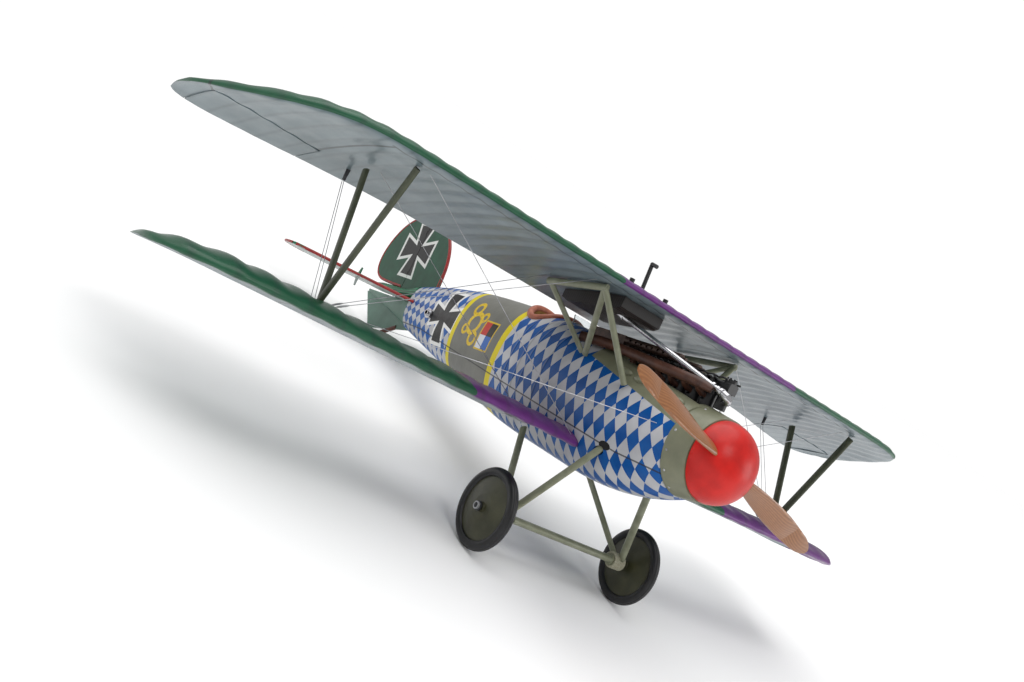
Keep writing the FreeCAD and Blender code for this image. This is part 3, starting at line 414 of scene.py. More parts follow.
def paint(nodes, material):
    """Gives CAD nodes their finish."""
    for name in nodes:
        mesh = part[name].data
        mesh.materials.clear()
        mesh.materials.append(material)


hull_print, tree, shader, place = finish("varnished_printed_ply", Roughness=0.32)
shader.inputs["Specular IOR Level"].default_value = 0.25
axes = add(tree, "SeparateXYZ", {0: place})
x_mm = axes["X"]
y_mm = axes["Y"]
z_mm = axes["Z"]
share = add(tree, "MapRange", {0: y_mm, 1: 100.0, 2: 380.0, 3: 1.0, 4: 0.0})[0]
rise = add(tree, "Math", add(tree, "Math", share, 1.5, operation="POWER")[0], -20.0, 19.0,
           operation="MULTIPLY_ADD")[0]
turn = add(tree, "Math", x_mm, add(tree, "Math", z_mm, rise, operation="SUBTRACT")[0],
           operation="ARCTAN2")[0]
row = add(tree, "Math", turn, lozenges_round / (2 * math.pi), operation="MULTIPLY")[0]
column = add(tree, "Math", y_mm, lozenge_pitch, operation="DIVIDE")[0]
first = add(tree, "Math", add(tree, "Math", column, row, operation="ADD")[0], operation="FLOOR")[0]
second = add(tree, "Math", add(tree, "Math", column, row, operation="SUBTRACT")[0], operation="FLOOR")[0]
parity = add(tree, "Math", add(tree, "Math", first, second, operation="ADD")[0], 2.0,
             operation="FLOORED_MODULO")[0]
blue = add(tree, "MixRGB", speckle(tree, place, 12.0), linear("#024488"), linear("#0556a0"))[0]
white = add(tree, "MixRGB", speckle(tree, place, 20.0), linear("#a6a7ab"), linear("#bfc0c4"))[0]
colour = add(tree, "MixRGB", add(tree, "Math", parity, 0.5, operation="GREATER_THAN")[0], white, blue)[0]


def between(tree, value, low, high):
    """1 where the value lies from low to high, else 0."""
    return add(tree, "Math", value, (low + high) / 2, (high - low) / 2, operation="COMPARE")[0]


def cross_edge(tree, across, up, reach, narrow, flare):
    """Distance outside a straight cross whose arms widen by flare from a narrow half width."""
    a = add(tree, "Math", across, operation="ABSOLUTE")[0]
    b = add(tree, "Math", up, operation="ABSOLUTE")[0]
    arms = []
    for near, far in ((a, b), (b, a)):
        side = add(tree, "Math", near, add(tree, "Math", far, flare, narrow, operation="MULTIPLY_ADD")[0],
                   operation="SUBTRACT")[0]
        arms.append(add(tree, "Math", side, add(tree, "Math", far, reach, operation="SUBTRACT")[0],
                        operation="MAXIMUM")[0])
    return add(tree, "Math", arms[0], arms[1], operation="MINIMUM")[0]


def ring(tree, across, up, radius, width):
    """1 on a ring of that radius and width, else 0."""
    far = add(tree, "Math", add(tree, "Math", add(tree, "Math", across, 2.0, operation="POWER")[0],
                                add(tree, "Math", up, 2.0, operation="POWER")[0], operation="ADD")[0],
              operation="SQRT")[0]
    return add(tree, "Math", far, radius, width / 2, operation="COMPARE")[0]


cross = cross_edge(tree, add(tree, "Math", y_mm, 307.0, operation="SUBTRACT")[0],
                   add(tree, "Math", z_mm, 19.0, operation="SUBTRACT")[0], 20.0, 3.2, 0.24)
colour = add(tree, "MixRGB", add(tree, "Math", cross, 2.6, operation="LESS_THAN")[0], colour,
             linear("#dcdcda"))[0]
colour = add(tree, "MixRGB", add(tree, "Math", cross, 0.0, operation="LESS_THAN")[0], colour,
             linear("#1c1b1b"))[0]
band_grey = add(tree, "MixRGB", speckle(tree, place, 25.0), linear("#62625c"), linear("#71716a"))[0]
colour = add(tree, "MixRGB", between(tree, y_mm, 211.0, 286.0), colour, band_grey)[0]
for low, high in ((211.0, 217.5), (280.5, 286.0)):
    colour = add(tree, "MixRGB", between(tree, y_mm, low, high), colour, linear("#d2bf00"))[0]
scroll_y = add(tree, "Math", y_mm, 259.0, operation="SUBTRACT")[0]
scroll_z = add(tree, "Math", z_mm, 22.0, operation="SUBTRACT")[0]
for dy, dz, radius, width in ((0, 0, 7.5, 3.4), (6, 11, 4.5, 2.6), (-6, -11, 4.5, 2.6), (-9, 6, 3.2, 2.2),
                              (9, -6, 3.2, 2.2)):
    mark = ring(tree, add(tree, "Math", scroll_y, float(dy), operation="ADD")[0],
                add(tree, "Math", scroll_z, float(dz), operation="ADD")[0], radius, width)
    colour = add(tree, "MixRGB", mark, colour, add(tree, "MixRGB", speckle(tree, place, 1.5),
                                                   linear("#b8930e"), linear("#d9bd2c"))[0])[0]
shield_y = add(tree, "Math", y_mm, 236.0, operation="SUBTRACT")[0]
shield_z = add(tree, "Math", z_mm, 16.0, operation="SUBTRACT")[0]
in_shield = add(tree, "Math", between(tree, shield_y, -8.0, 8.0), between(tree, shield_z, -10.0, 10.0),
                operation="MULTIPLY")[0]
quarter = add(tree, "Math", shield_y, shield_z, operation="MULTIPLY")[0]
pale = add(tree, "MixRGB", add(tree, "Math", quarter, 0.0, operation="GREATER_THAN")[0], linear("#c8cbd2"),
           linear("#b03026"))[0]
dark = add(tree, "MixRGB", add(tree, "Math", shield_z, 0.0, operation="GREATER_THAN")[0], linear("#2f5fa8"),
           linear("#2a2722"))[0]
shield = add(tree, "MixRGB", add(tree, "Math", shield_y, 0.0, operation="GREATER_THAN")[0], dark, pale)[0]
colour = add(tree, "MixRGB", in_shield, colour, shield)[0]
edge = add(tree, "Math", add(tree, "Math", add(tree, "Math", shield_y, operation="ABSOLUTE")[0], 8.0,
                             operation="SUBTRACT")[0],
           add(tree, "Math", add(tree, "Math", shield_z, operation="ABSOLUTE")[0], 10.0,
               operation="SUBTRACT")[0], operation="MAXIMUM")[0]
colour = add(tree, "MixRGB", between(tree, edge, 0.0, 1.2), colour, linear("#c8a820"))[0]
joint_z = add(tree, "MapRange", {0: y_mm, 1: 70.0, 2: 340.0, 3: -19.0, 4: 4.0})[0]
joint = add(tree, "Math", add(tree, "Math", z_mm, joint_z, operation="SUBTRACT")[0],
            operation="ABSOLUTE")[0]
colour = add(tree, "MixRGB", add(tree, "Math", add(tree, "Math", joint, 0.45, operation="LESS_THAN")[0],
                                 0.8, operation="MULTIPLY")[0], colour, linear("#2b2b2d"))[0]
# Painted shade: a near-black oval low on each side where the gear leg enters the hull, for the shade in its
# slot.
slot_shade_mask = add(tree, "Math", add(tree, "Math", add(tree, "Math", y_mm, 79.0, operation="SUBTRACT")[0], 4.8,
                                 operation="DIVIDE")[0], 2.0, operation="POWER")[0]
slot_rise = add(tree, "Math", add(tree, "Math", add(tree, "Math", z_mm, 18.2, operation="ADD")[0], 2.4,
                                  operation="DIVIDE")[0], 2.0, operation="POWER")[0]
slot_shade_mask = add(tree, "Math", add(tree, "Math", slot_shade_mask, slot_rise, operation="ADD")[0], 1.0,
               operation="LESS_THAN")[0]
colour = add(tree, "MixRGB", slot_shade_mask, colour, linear("#0d0d0e"))[0]
ridges = 0.0
for ridge_y in (158.0, 176.0, 184.0, 196.0):
    away = add(tree, "Math", add(tree, "Math", y_mm, ridge_y, operation="SUBTRACT")[0],
               operation="ABSOLUTE")[0]
    bead = add(tree, "MapRange", {0: away, 1: 0.0, 2: 1.3, 3: 1.0, 4: 0.0})[0]
    ridges = add(tree, "Math", bead, ridges, operation="ADD")[0]
colour = add(tree, "MixRGB", add(tree, "Math", ridges, 0.3, operation="MULTIPLY")[0], colour,
             linear("#101820"))[0]
tree.links.new(colour, shader.inputs["Base Color"])
ripple = speckle(tree, place, 22.0, 0.0, 1.0)
height = add(tree, "Math", ridges, 1.2, add(tree, "Math", ripple, 1.0, operation="MULTIPLY")[0],
             operation="MULTIPLY_ADD")[0]
bump = add(tree, "Bump", {"Height": height, "Distance": 0.00035, "Strength": 0.8})[0]
tree.links.new(bump, shader.inputs["Normal"])
paint(("fuselage_shell_port", "fuselage_shell_starboard"), hull_print)

# Cowl, nose ring, gear and cabane. Sheet aluminium cowling and drawn strut tube in grey-green
# enamel, the V struts in olive. The eye sees two close tones, fine orange peel and a soft shine.


def enamel(name, pale, deep, roughness, grain_mm=8.0, chips=None, **uniform):
    """Brushed enamel: two close tones in soft patches, fine orange peel, and worn spots."""
    material, tree, shader, place = finish(name, Roughness=roughness, **uniform)
    colour = add(tree, "MixRGB", speckle(tree, place, grain_mm), linear(deep), linear(pale))[0]
    if chips:
        worn = add(tree, "TexNoise", {"Vector": place, "Scale": 1.4, "Detail": 6.0, "Roughness": 0.7})
        colour = add(tree, "MixRGB", add(tree, "Math", worn[0], 0.66, operation="GREATER_THAN")[0], colour,
                     linear(chips))[0]
    tree.links.new(colour, shader.inputs["Base Color"])
    bump = add(tree, "Bump", {"Height": speckle(tree, place, 1.2), "Distance": 0.00005, "Strength": 0.5})[0]
    tree.links.new(bump, shader.inputs["Normal"])
    return material


cowl_green = enamel("cowl_enamel", "#7f806a", "#6a6c57", 0.38, 16.0)
strut_grey = enamel("strut_enamel", "#8d9079", "#777a63", 0.42, 7.0)
strut_olive = enamel("olive_enamel", "#4c513c", "#3b402e", 0.45, 7.0)
paint(("upper_cowl", "cowl_louvres", "nose_ring"), cowl_green)
paint(("cabane_port", "cabane_starboard", "gear_leg_port", "gear_leg_starboard", "spreader_bar"), strut_grey)
paint(("v_strut_port", "v_strut_starboard"), strut_olive)

# Aileron cranks. An oiled steel torque tube along the hinge line, and a lever that stands down
# through the slot beside the V strut. It rides the aileron; the cables end just short of it.


def carried(places, radius, sides=12):
    """Round tube carried along a path of places (mm): at each one a ring of points at the radius,
    in the plane square to the path. Radius may change along the path. Returns rings of points."""
    places = np.asarray(places, float)
    radius = np.broadcast_to(np.asarray(radius, float), len(places))
    ahead = np.gradient(places, axis=0)
    ahead /= np.linalg.norm(ahead, axis=1)[:, None]
    spread = np.ptp(ahead, axis=0)
    helper = np.eye(3)[int(np.argmin(np.abs(ahead).max(0) + spread * 0.01))]
    first = np.cross(ahead, helper)
    first /= np.linalg.norm(first, axis=1)[:, None]
    second = np.cross(ahead, first)
    t = np.linspace(0, 2 * math.pi, sides, endpoint=False)
    around = first[:, None] * np.cos(t)[None, :, None] + second[:, None] * np.sin(t)[None, :, None]
    return places[:, None] + around * radius[:, None, None]


def gathered(name, shapes):
    """Joins several closed skins into one piece."""
    first = shapes[0]
    whole = bmesh.new()
    for shape in shapes:
        whole.from_mesh(shape.data)
    whole.to_mesh(first.data)
    whole.free()
    for shape in shapes[1:]:
        bpy.data.objects.remove(shape)
    first.name = name
    return first


crank_steel = enamel("oiled_steel", "#4a4b4d", "#2c2d2f", 0.4, 3.0, Metallic=0.7)
for side, word in ((1, "port"), (-1, "starboard")):
    tube_line = [(side * x, 175.6, 59.85) for x in (199.5, 201, 210, 222.5)]
    lever_line = [(side * 201, 175.6, 60), (side * 201, 175.6, 56), (side * 201, 175.6, 52.2),
                  (side * 201, 175.6, 51.4)]
    crank = gathered("aileron_crank_" + word, [
        surface("torque_tube", carried(tube_line, 1.0)),
        surface("lever", carried(lever_line, [1.5, 1.2, 1.0, 0.6])),
        surface("shackle", carried([(side * 200.2, 175.6, 52.2), (side * 201.8, 175.6, 52.2)], 0.8))])
    dress(crank, crank_steel, "aileron_" + word, "steel_wire")

# Spinner and its backplate. Spun aluminium pressed on the shaft, in thick red enamel under clear
# lacquer, which gives the eye one long soft highlight on a saturated red.
spinner_red = enamel("spinner_lacquer", "#cc1810", "#b00f09", 0.38, 10.0, IOR=1.35, Coat_Weight=0.12,
                     Coat_Roughness=0.2)
paint(("spinner", "spinner_backplate"), spinner_red)

# Propeller. Carved from laminated hardwood and varnished: each layer has its own tone, and the
# grain runs along the blades.
prop_wood, tree, shader, place = finish("laminated_wood", Roughness=0.28, Coat_Weight=0.5,
                                        Coat_Roughness=0.12)
stretched = add(tree, "Mapping", {0: place, "Scale": (0.12, 1.0, 1.0)})[0]
layers = add(tree, "TexWave", {"Vector": stretched, "Scale": 0.42, "Distortion": 0.5}, bands_direction="Y")
grain = add(tree, "TexNoise", {"Vector": stretched, "Scale": 2.2, "Detail": 8.0})
colour = add(tree, "MixRGB", layers["Fac"], linear("#8f5a2e"), linear("#a87040"))[0]
colour = add(tree, "MixRGB", add(tree, "Math", grain[0], 0.7, operation="MULTIPLY")[0], colour,
             linear("#5f3519"))[0]
tree.links.new(colour, shader.inputs["Base Color"])
bump = add(tree, "Bump", {"Height": grain[0], "Distance": 0.00006, "Strength": 0.4})[0]
tree.links.new(bump, shader.inputs["Normal"])
paint(("propeller",), prop_wood)

# Dummy engine, guns, radiator and fittings. Cast parts in oily black, browned gun steel, a dark
# radiator matrix with a fine lattice, polished tube, bright wire and one turned brass bush.
black_iron = enamel("black_iron", "#18181b", "#08080a", 0.35, 3.0, "#5a5a5c")
exhaust_brown = enamel("heat_browned_steel", "#573424", "#351c14", 0.5, 9.0, "#7a5a46")
gun_brown = enamel("browned_gun_steel", "#4b3830", "#2a1f1b", 0.45, 3.0, "#7d6a5c", Metallic=0.5)
radiator_brown, tree, shader, place = finish("radiator_matrix", Roughness=0.5)
cells = add(tree, "TexWave", {"Vector": place, "Scale": 0.22}, bands_direction="X")
rows = add(tree, "TexWave", {"Vector": place, "Scale": 0.16}, bands_direction="Y")
lattice = add(tree, "Math", cells["Fac"], rows["Fac"], operation="MULTIPLY")[0]
tree.links.new(add(tree, "MixRGB", lattice, linear("#1b1614"), linear("#4a3b35"))[0],
               shader.inputs["Base Color"])
bump = add(tree, "Bump", {"Height": lattice, "Distance": 0.0005, "Strength": 0.8})[0]
tree.links.new(bump, shader.inputs["Normal"])
paint(("crankcase", "cylinders", "cam_cover", "filler_pipe"), black_iron)
paint(("gun_port", "gun_starboard"), gun_brown)
paint(("radiator",), radiator_brown)
polished = enamel("polished_steel_tube", "#d6d6d8", "#b4b4b8", 0.22, 9.0, Metallic=1.0)
wire_steel = enamel("bright_wire", "#c9c9cc", "#9a9a9e", 0.35, 9.0, Metallic=0.8)
paint(("peg_bushes", "motor_peg"), polished)
paint(("rigging_wires", "aileron_cables", "prop_shaft", "prop_nut", "thrust_washers", "hinge_pins", "axle",
       "hub_nuts", "wing_joiners"), wire_steel)
brass = enamel("turned_brass", "#c8a050", "#a07c34", 0.3, 5.0, Metallic=1.0)
paint(("thrust_bush",), brass)

# Cockpit. A padded leather roll round the opening, a hide seat on a birch ply floor, a clear
# bent screen, and the rubber motor inside the hull. The leather is scuffed to a darker brown.
leather = enamel("padded_leather", "#a86148", "#86452f", 0.5, 4.0, "#5a2a1c")
seat_hide = enamel("seat_hide", "#7a4a2c", "#55301a", 0.55, 4.0)
plywood = enamel("birch_plywood", "#c8a276", "#a88455", 0.55, 6.0)
rubber = enamel("natural_rubber", "#a88455", "#8a6a40", 0.6, 4.0)
paint(("cockpit_coaming",), leather)
paint(("seat",), seat_hide)
paint(("cockpit_floor", "former_peg", "nose_block"), plywood)
paint(("rubber_motor",), rubber)
clear_screen, tree, shader, place = finish("clear_sheet", Roughness=0.05, IOR=1.49)
shader.inputs["Transmission Weight"].default_value = 0.95
smudge = add(tree, "MixRGB", speckle(tree, place, 5.0), linear("#eef2f3"), linear("#dfe6e8"))[0]
tree.links.new(smudge, shader.inputs["Base Color"])
paint(("windscreen",), clear_screen)

# Wheel discs. Spun discs covered in doped olive cloth, turning on the axle; the tyres have the
# black rubber finish of their own section below.
tyre_black = enamel("tyre_rubber", "#121214", "#09090b", 0.42, 5.0)
disc_olive = enamel("disc_cloth", "#3f3f28", "#2e2e1a", 0.4, 9.0)
paint(("wheel_disc_port", "wheel_disc_starboard"), disc_olive)

# Tail surfaces. Green doped linen with ribs showing through, paler below, and a plain cross on
# fin and rudder. The fin is fixed to the hull; rudder and elevator turn on pins.
tail_green, tree, shader, place = finish("tail_linen", Roughness=0.5)
axes = add(tree, "SeparateXYZ", {0: place})
colour = add(tree, "MixRGB", speckle(tree, place, 14.0), linear("#063a26"), linear("#0a4c33"))[0]
centre_y = add(tree, "Math", axes["Y"], 421.0, operation="SUBTRACT")[0]
centre_z = add(tree, "Math", axes["Z"], 65.0, operation="SUBTRACT")[0]
cross = cross_edge(tree, centre_y, centre_z, 22.5, 2.8, 0.3)
colour = add(tree, "MixRGB", add(tree, "Math", cross, 2.8, operation="LESS_THAN")[0], colour,
             linear("#dcdcda"))[0]
colour = add(tree, "MixRGB", add(tree, "Math", cross, 0.0, operation="LESS_THAN")[0], colour,
             linear("#1c1b1b"))[0]
tree.links.new(colour, shader.inputs["Base Color"])
bump = add(tree, "Bump", {"Height": speckle(tree, place, 6.0), "Distance": 0.0001, "Strength": 0.6})[0]
tree.links.new(bump, shader.inputs["Normal"])
paint(("fin", "rudder"), tail_green)
tail_cloth, tree, shader, place = finish("tail_cloth_green", Roughness=0.4)
axes = add(tree, "SeparateXYZ", {0: place})
out = add(tree, "Math", axes["X"], operation="ABSOLUTE")[0]
colour = add(tree, "MixRGB", speckle(tree, place, 12.0), linear("#0f5a3c"), linear("#1f7a56"))[0]
under = add(tree, "MixRGB", speckle(tree, place, 16.0), linear("#9aa6a4"), linear("#b4bcb8"))[0]
colour = add(tree, "MixRGB", add(tree, "Math", axes["Z"], 21.2, operation="LESS_THAN")[0], colour, under)[0]
ribs = add(tree, "Math", add(tree, "Math", out, 4.0, operation="ADD")[0], 8.0, operation="PINGPONG")[0]
colour = add(tree, "MixRGB", add(tree, "Math", add(tree, "Math", ribs, 0.7, operation="LESS_THAN")[0], 0.25,
                                 operation="MULTIPLY")[0], colour, linear("#0a2018"))[0]
tree.links.new(colour, shader.inputs["Base Color"])
bump = add(tree, "Bump", {"Height": add(tree, "Math", ribs, 0.9, operation="LESS_THAN")[0],
                          "Distance": 0.0002, "Strength": 0.6})[0]
tree.links.new(bump, shader.inputs["Normal"])
paint(("tailplane", "elevator"), tail_cloth)
fin_green = enamel("ventral_green", "#56796a", "#48695b", 0.45, 12.0)
paint(("ventral_fin", "tail_cone"), fin_green)
skid_brown = enamel("ash_skid", "#6a3a2a", "#4a241a", 0.5, 3.0)
paint(("tail_skid", "former_tail"), skid_brown)

# Exhaust manifold. One thick pipe along the starboard side of the cylinders with an open flared
# end and six short branches, heat-browned steel.
pipe_sides = 24
main_line = [(-10.8, 37.0, 35.2), (-12.6, 40.0, 35.8), (-13.9, 46.0, 36.4), (-14.4, 62.0, 37.2),
             (-14.7, 80.0, 38.0), (-15.0, 98.0, 38.9), (-15.2, 112.0, 39.6), (-17.4, 121.0, 39.9),
             (-21.0, 130.0, 39.4), (-24.4, 137.0, 38.4), (-26.6, 141.6, 37.6)]
bore_line = main_line[-4:][::-1]
outside = carried(main_line, [2.0, 2.6, 3.0, 3.15, 3.2, 3.2, 3.2, 3.2, 3.2, 3.2, 3.3], pipe_sides)
inside_wall = np.stack([ring + (core - ring) * 0.2 for ring, core in
                        zip(outside[-4:][::-1], np.array(bore_line)[:, None])])
branches = [surface("main", np.concatenate([outside, inside_wall]))]
first_cylinder = 47.0
cylinder_pitch = 11.6
cylinder_places = first_cylinder + cylinder_pitch * np.arange(6)
for cy in cylinder_places:
    pipe_z = 36.4 + (cy - 46.0) * 0.05
    branches.append(surface("branch", carried([(-4.2, cy, 31.6), (-7.5, cy, 32.2), (-10.6, cy, 33.6),
                                               (-13.4, cy, pipe_z)], [1.9, 1.7, 1.8, 2.2], 14)))
exhaust = gathered("exhaust_pipes", branches)
dress(exhaust, exhaust_brown, "airframe", "exhaust_brown", "exhaust_manifold")

# Coolant line. Polished steel tube from the radiator down to the front of the engine, where a
# bent elbow takes it into the block.
tube = surface("coolant_tube", carried([(-6.0, 31.0, 35.6), (-10.8, 48.0, 40.1), (-20.4, 82.0, 49.2),
                                        (-30.0, 116.0, 58.2)], 1.6, pipe_sides))
elbow = surface("elbow", carried([(-6.4, 32.2, 36.0), (-5.6, 29.6, 34.9), (-4.2, 29.0, 33.6),
                                  (-2.6, 30.4, 32.6), (-1.6, 33.2, 32.2)], [2.3, 2.5, 2.5, 2.4, 2.2],
                                 pipe_sides))
dress(gathered("coolant_line", [tube, elbow]), polished, "airframe", "polished_pipe", "coolant_pipe")

# Valve gear. Open coil springs in pairs beside the cam cover, a rocker to each, ignition leads
# clipped along both sides and two plugs to a cylinder. Blackened steel, oily.
gear_shapes = []
spring_turns = 4.5
t = np.linspace(0, 1, 60)
for cy in cylinder_places:
    for side in (-1, 1):
        for dy in (-2.7, 2.7):
            angle = 2 * math.pi * spring_turns * t
            coil = np.stack([side * 6.6 + 1.25 * np.cos(angle), cy + dy + 1.25 * np.sin(angle),
                             37.8 + 4.4 * t], -1)
            gear_shapes.append(surface("spring", carried(coil, 0.32, 6)))
            rocker = [(side * 3.2, cy + dy, 42.6), (side * 4.6, cy + dy, 43.3), (side * 6.6, cy + dy, 42.9),
                      (side * 7.2, cy + dy, 42.4)]
            gear_shapes.append(surface("rocker", carried(rocker, [0.9, 0.8, 0.7, 0.5], 8)))
        plug = [(side * 4.9, cy, 30.5), (side * 6.4, cy, 30.9), (side * 6.6, cy, 31.0),
                (side * 8.6, cy, 31.6)]
        gear_shapes.append(surface("plug", carried(plug, [1.3, 1.3, 0.7, 0.6], 8)))
for side in (-1, 1):
    run = [(side * (5.6 + 0.5 * math.sin(k * 1.9)), 34.0 + k * 4.0,
            44.6 + 0.4 * math.sin(k * 2.7)) for k in range(20)]
    gear_shapes.append(surface("lead", carried(run, 0.6, 8)))
for k in range(12):
    x = 2.2 * math.sin(k * 2.4)
    y = 34.5 + k * 6.5
    knob = [(x, y, 43.4), (x, y, 44.6), (x, y, 45.0)]
    gear_shapes.append(surface("nut", carried(knob, [1.2, 1.2, 0.7], 6)))
bolt_count = 7
bolt_ring = 2.6
for k in range(bolt_count):
    turn = 2 * math.pi * k / bolt_count
    x = bolt_ring * math.cos(turn)
    y = 36.5 + bolt_ring * math.sin(turn)
    bolt = np.array([(x, y, 45.4), (x, y, 46.4)])
    gear_shapes.append(surface("bolt", carried(bolt, 0.6, 6)))
valve_gear = gathered("valve_gear", gear_shapes)
dress(valve_gear, black_iron, "airframe", "black_engine")

# Coolant collars. Polished steel clamps on the long tube, three at its engine end and one below
# the radiator, with rolled edges that catch the light.
low_end = np.array([-6.0, 31.0, 35.6])
high_end = np.array([-30.0, 116.0, 58.2])
run = high_end - low_end
collars = []
for share, radius in ((0.02, 2.5), (0.05, 2.1), (0.09, 2.4), (0.93, 2.1)):
    a = low_end + run * share
    b = low_end + run * (share + 0.018)
    mid = (a + b) / 2
    collars.append(surface("collar", carried([a, a + (mid - a) * 0.1, mid, b - (b - mid) * 0.1, b],
                                             [radius * 0.85, radius, radius, radius, radius * 0.85], 20)))
dress(gathered("coolant_collars", collars), polished, "airframe", "polished_pipe")

# Tyres, rim beads and hub caps. Moulded black rubber with three shallow grooves round the tread,
# a black steel bead where tyre meets disc, and an oiled steel cap on each axle end.
wheel_hub = np.array([62.6, 107.2, -80.2])


def turned(profile, centre, steps=96):
    """Profile of (radius, offset) points spun round a line through the centre along X."""
    spin = np.linspace(0, 2 * math.pi, steps, endpoint=False)[:, None]
    radius = np.array([p[0] for p in profile])[None]
    offset = np.array([p[1] for p in profile])[None]
    return np.stack(np.broadcast_arrays(centre[0] + offset, centre[1] + radius * np.cos(spin),
                                        centre[2] + radius * np.sin(spin)), -1)


def hoop(name, points):
    """Closed skin of a spun profile: rings joined end to end, with no end faces."""
    wrapped = np.concatenate([points, points[:1]])
    return surface(name, wrapped, close_ends=False)


for side, word in ((1, "port"), (-1, "starboard")):
    hub = wheel_hub * (side, 1, 1)
    t = np.linspace(0, 2 * math.pi, 72, endpoint=False)
    groove = sum(np.exp(-((t - at) / 0.09) ** 2) for at in (math.pi / 2 - 0.55, math.pi / 2,
                                                            math.pi / 2 + 0.55))
    bead = 3.1 - 0.28 * groove
    tyre = hoop("tyre_tread_" + word, turned(list(zip(21.9 + bead * np.sin(t), bead * np.cos(t))), hub))
    dress(tyre, tyre_black, "wheel_" + word, "tyre_black", "tyre_" + word)
    rim = [(19.2, 1.9), (19.6, 2.5), (20.2, 2.6), (20.5, 2.2), (20.2, 1.9)]
    rim_ring = hoop("rim_bead_" + word, turned([(r, side * o) for r, o in rim], hub))
    dress(rim_ring, black_iron, "wheel_" + word, "black_engine")
    cap = [(0.1, 8.9), (1.2, 8.8), (1.9, 8.2), (2.2, 7.2), (2.9, 6.9), (3.0, 5.9), (0.1, 5.9)]
    nut_cap = hoop("hub_cap_" + word, turned([(r, side * o) for r, o in cap], hub, 32))
    dress(nut_cap, crank_steel, "airframe", "steel_wire")

# Shock cord. Rubber cord in a dull cotton braid, lashed in six turns round each end of the axle
# at the foot of the gear legs.
cord_cotton, tree, shader, place = finish("braided_cord_cover", Roughness=0.8)
braid = add(tree, "TexVoronoi", {"Vector": place, "Scale": 1.1})
tree.links.new(add(tree, "MixRGB", braid["Distance"], linear("#b9b6a0"), linear("#8d8a74"))[0],
               shader.inputs["Base Color"])
bump = add(tree, "Bump", {"Height": braid["Distance"], "Distance": 0.0002, "Strength": 0.8})[0]
tree.links.new(bump, shader.inputs["Normal"])
for side, word in ((1, "port"), (-1, "starboard")):
    turns = 6
    t = np.linspace(0, 1, 40 * turns)
    angle = 2 * math.pi * turns * t
    lash = np.stack([side * (44.6 + 9.6 * t), 107.2 + 4.4 * np.cos(angle), -80.2 + 4.4 * np.sin(angle)], -1)
    cord_turns = surface("shock_cord_" + word, carried(lash, 0.85, 8))
    dress(cord_turns, cord_cotton, "airframe", "strut_grey")

# Turnbuckles. Bright steel barrels screwed on near the lower end of the flying, landing and drag
# wires, tapered at both ends; one for each of five wires on a side.
wire_ends = [((24.0, 106.0, -24.0), (196.5, 100.0, 67.0), 0.06),
             ((26.0, 158.0, -26.0), (196.5, 149.0, 62.0), 0.06),
             ((199.0, 130.5, -18.0), (65.5, 101.0, 67.0), 0.04),
             ((199.0, 135.5, -18.0), (65.5, 145.5, 62.0), 0.04),
             ((199.0, 126.0, -18.0), (22.0, 46.0, 6.0), 0.04)]
barrels = []
for start, end, share in wire_ends:
    for side in (-1, 1):
        a = np.array(start) * (side, 1, 1)
        way = np.array(end) * (side, 1, 1) - a
        unit = way / np.linalg.norm(way)
        base = a + way * share
        line = [base + unit * step for step in (0, 0.6, 2.0, 5.0, 6.4, 7.0)]
        barrels.append(surface("barrel", carried(line, [0.25, 0.4, 0.55, 0.55, 0.4, 0.25], 10)))
dress(gathered("turnbuckles", barrels), wire_steel, "airframe", "steel_wire")

# Cowl screws. Fourteen small round steel heads along the rear edge of the nose ring, bright
# points that show how the cowling is held.
heads = []
screw_count = 14
screw_ring = 26.2
screw_y = 34.6
for k in range(screw_count):
    turn = 2 * math.pi * (k + 0.5) / screw_count
    out = np.array([math.cos(turn), 0, math.sin(turn)])
    foot = out * screw_ring + (0, screw_y, 0)
    heads.append(surface("head", carried([foot, foot + out * 0.3, foot + out * 0.65], [0.8, 0.75, 0.3], 10)))
dress(gathered("cowl_screws", heads), wire_steel, "airframe", "steel_wire")

# Tail edges. Round cane bound into the rim of the fin, rudder, tailplane and elevator under red
# dope; it gives the tail its thick rounded outline.
edge_red = enamel("red_doped_cane", "#9c1c18", "#7c100e", 0.4, 8.0)


def eased(points, steps=8):
    """Smooth path through points: between neighbours, the cubic whose slope at each point is half
    the step from the point before to the point after."""
    points = np.asarray(points, float)
    slope = np.gradient(points, axis=0)
    path = []
    for p, q, m, n in zip(points, points[1:], slope, slope[1:]):
        t = np.linspace(0, 1, steps, endpoint=False)[:, None]
        path.append((2 * t ** 3 - 3 * t ** 2 + 1) * p + (t ** 3 - 2 * t ** 2 + t) * m
                    + (3 * t ** 2 - 2 * t ** 3) * q + (t ** 3 - t ** 2) * n)
    return np.concatenate(path + [points[-1:]])


fin_rim = [(0, 365.6, 40.0), (0, 367.4, 58.0), (0, 374.9, 73.7), (0, 387.2, 85.6), (0, 402.0, 92.0),
           (0, 416.6, 94.4)]
rudder_rim = [(0, 419.0, 94.4), (0, 430.0, 94.4), (0, 445.8, 90.4), (0, 459.5, 80.1), (0, 468.9, 64.9),
              (0, 471.9, 50.0), (0, 468.6, 38.9), (0, 458.9, 33.1), (0, 440.0, 31.8), (0, 420.0, 31.6)]
stab_rim = [(11.5, 371.0, 22), (38.0, 382.0, 22), (72.0, 397.0, 22), (95.8, 407.5, 22), (105.4, 412.4, 22)]
elevator_rim = [(106.4, 416.4, 22), (106.4, 424.0, 22), (103.5, 437.5, 22), (93.7, 448.8, 22),
                (78.0, 454.2, 22)]
rims = [surface("rim", carried(eased(fin_rim), 1.35, 16))]
rims += [surface("rim", carried(eased(np.array(stab_rim) * (side, 1, 1)), 1.25, 16)) for side in (-1, 1)]
dress(gathered("fin_and_tailplane_edge", rims), edge_red, "airframe", "fin_green")
dress(surface("rudder_edge", carried(eased(rudder_rim), 1.35, 16)), edge_red, "rudder", "fin_green")
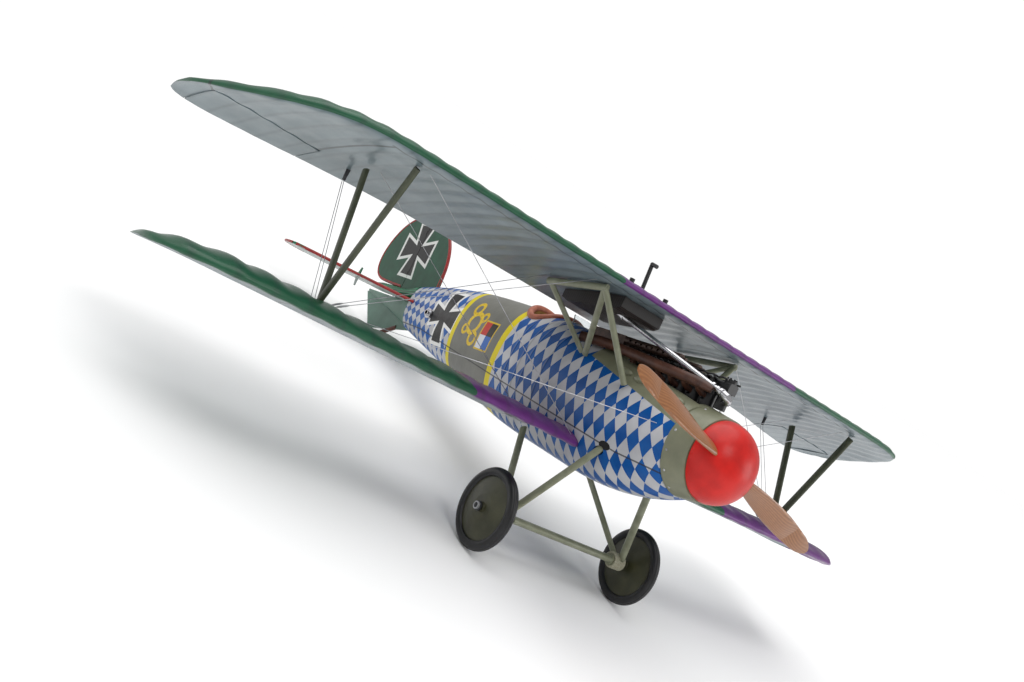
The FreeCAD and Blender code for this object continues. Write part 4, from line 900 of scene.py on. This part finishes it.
tips = [surface("rim", carried(eased(np.array(elevator_rim) * (side, 1, 1)), 1.1, 16)) for side in (-1, 1)]
dress(gathered("elevator_edge", tips), edge_red, "elevator", "elevator_cloth")

# Tail fairing. Sheet ply wedge glued on the tail cone under the rudder, in green enamel over
# shallow stiffening ribs, with painted shade along them as dark slanting lines.
fairing_rings = []
for y, half, low_z, top_z in ((380.6, 8.2, 23.4, 37.0), (392.0, 7.0, 23.4, 33.4), (405.0, 5.8, 23.4, 30.6),
                              (414.0, 5.0, 23.4, 30.2), (430.0, 3.8, 23.4, 30.2), (448.0, 2.6, 23.4, 29.6),
                              (460.0, 1.8, 23.4, 28.0), (468.0, 1.0, 23.4, 25.6)):
    t = np.linspace(0, 2 * math.pi, 40, endpoint=False)
    flat = np.copysign(np.abs(np.cos(t)) ** 0.7, np.cos(t))
    tall = np.copysign(np.abs(np.sin(t)) ** 0.7, np.sin(t))
    fairing_rings.append(np.stack([half * flat, np.full(40, y),
                                   (low_z + top_z) / 2 + (top_z - low_z) / 2 * tall], -1))
fairing_green, tree, shader, place = finish("fairing_ply_green", Roughness=0.42)
axes = add(tree, "SeparateXYZ", {0: place})
ribbing = add(tree, "Math", add(tree, "Math", axes["Y"], 0.10, axes["Z"], operation="MULTIPLY_ADD")[0], 1.1,
              operation="PINGPONG")[0]
colour = add(tree, "MixRGB", speckle(tree, place, 9.0), linear("#0c5a3b"), linear("#127a50"))[0]
# Painted shade: a dark slanting line along each rib.
colour = add(tree, "MixRGB", add(tree, "Math", ribbing, 0.3, operation="LESS_THAN")[0], colour,
             linear("#05301f"))[0]
tree.links.new(colour, shader.inputs["Base Color"])
bump = add(tree, "Bump", {"Height": ribbing, "Distance": 0.0003, "Strength": 0.7})[0]
tree.links.new(bump, shader.inputs["Normal"])
fairing = surface("tail_fairing", np.array(fairing_rings))
dress(fairing, fairing_green, "airframe", "fin_green")

# Cockpit lining. Dull ochre fabric over the inside of the opening, tucked under the leather roll
# and open at the bottom.
lining_cloth = enamel("cockpit_lining_cloth", "#8f6a24", "#6a4a16", 0.75, 3.0)
t = np.linspace(0, 2 * math.pi, 64, endpoint=False)
lining_rings = []
for scale, drop in ((0.93, 0.4), (0.9, 5.0), (0.9, 13.0), (0.87, 13.0), (0.87, 5.0), (0.9, 0.4)):
    x = 20.0 * scale * np.cos(t)
    y = 205.0 + 17.0 * scale * np.sin(t)
    across = np.clip(np.abs(x) / 29.0, 0, 1) ** (1 / 0.9)
    top = 8.4 + (y - 205.0) * 0.06 + 40.8 * (1 - across ** 2) ** 0.45
    lining_rings.append(np.stack([x, y, top - drop], -1))
lining = hoop("cockpit_lining", np.array(lining_rings))
dress(lining, lining_cloth, "airframe", "seat_leather")

low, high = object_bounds()
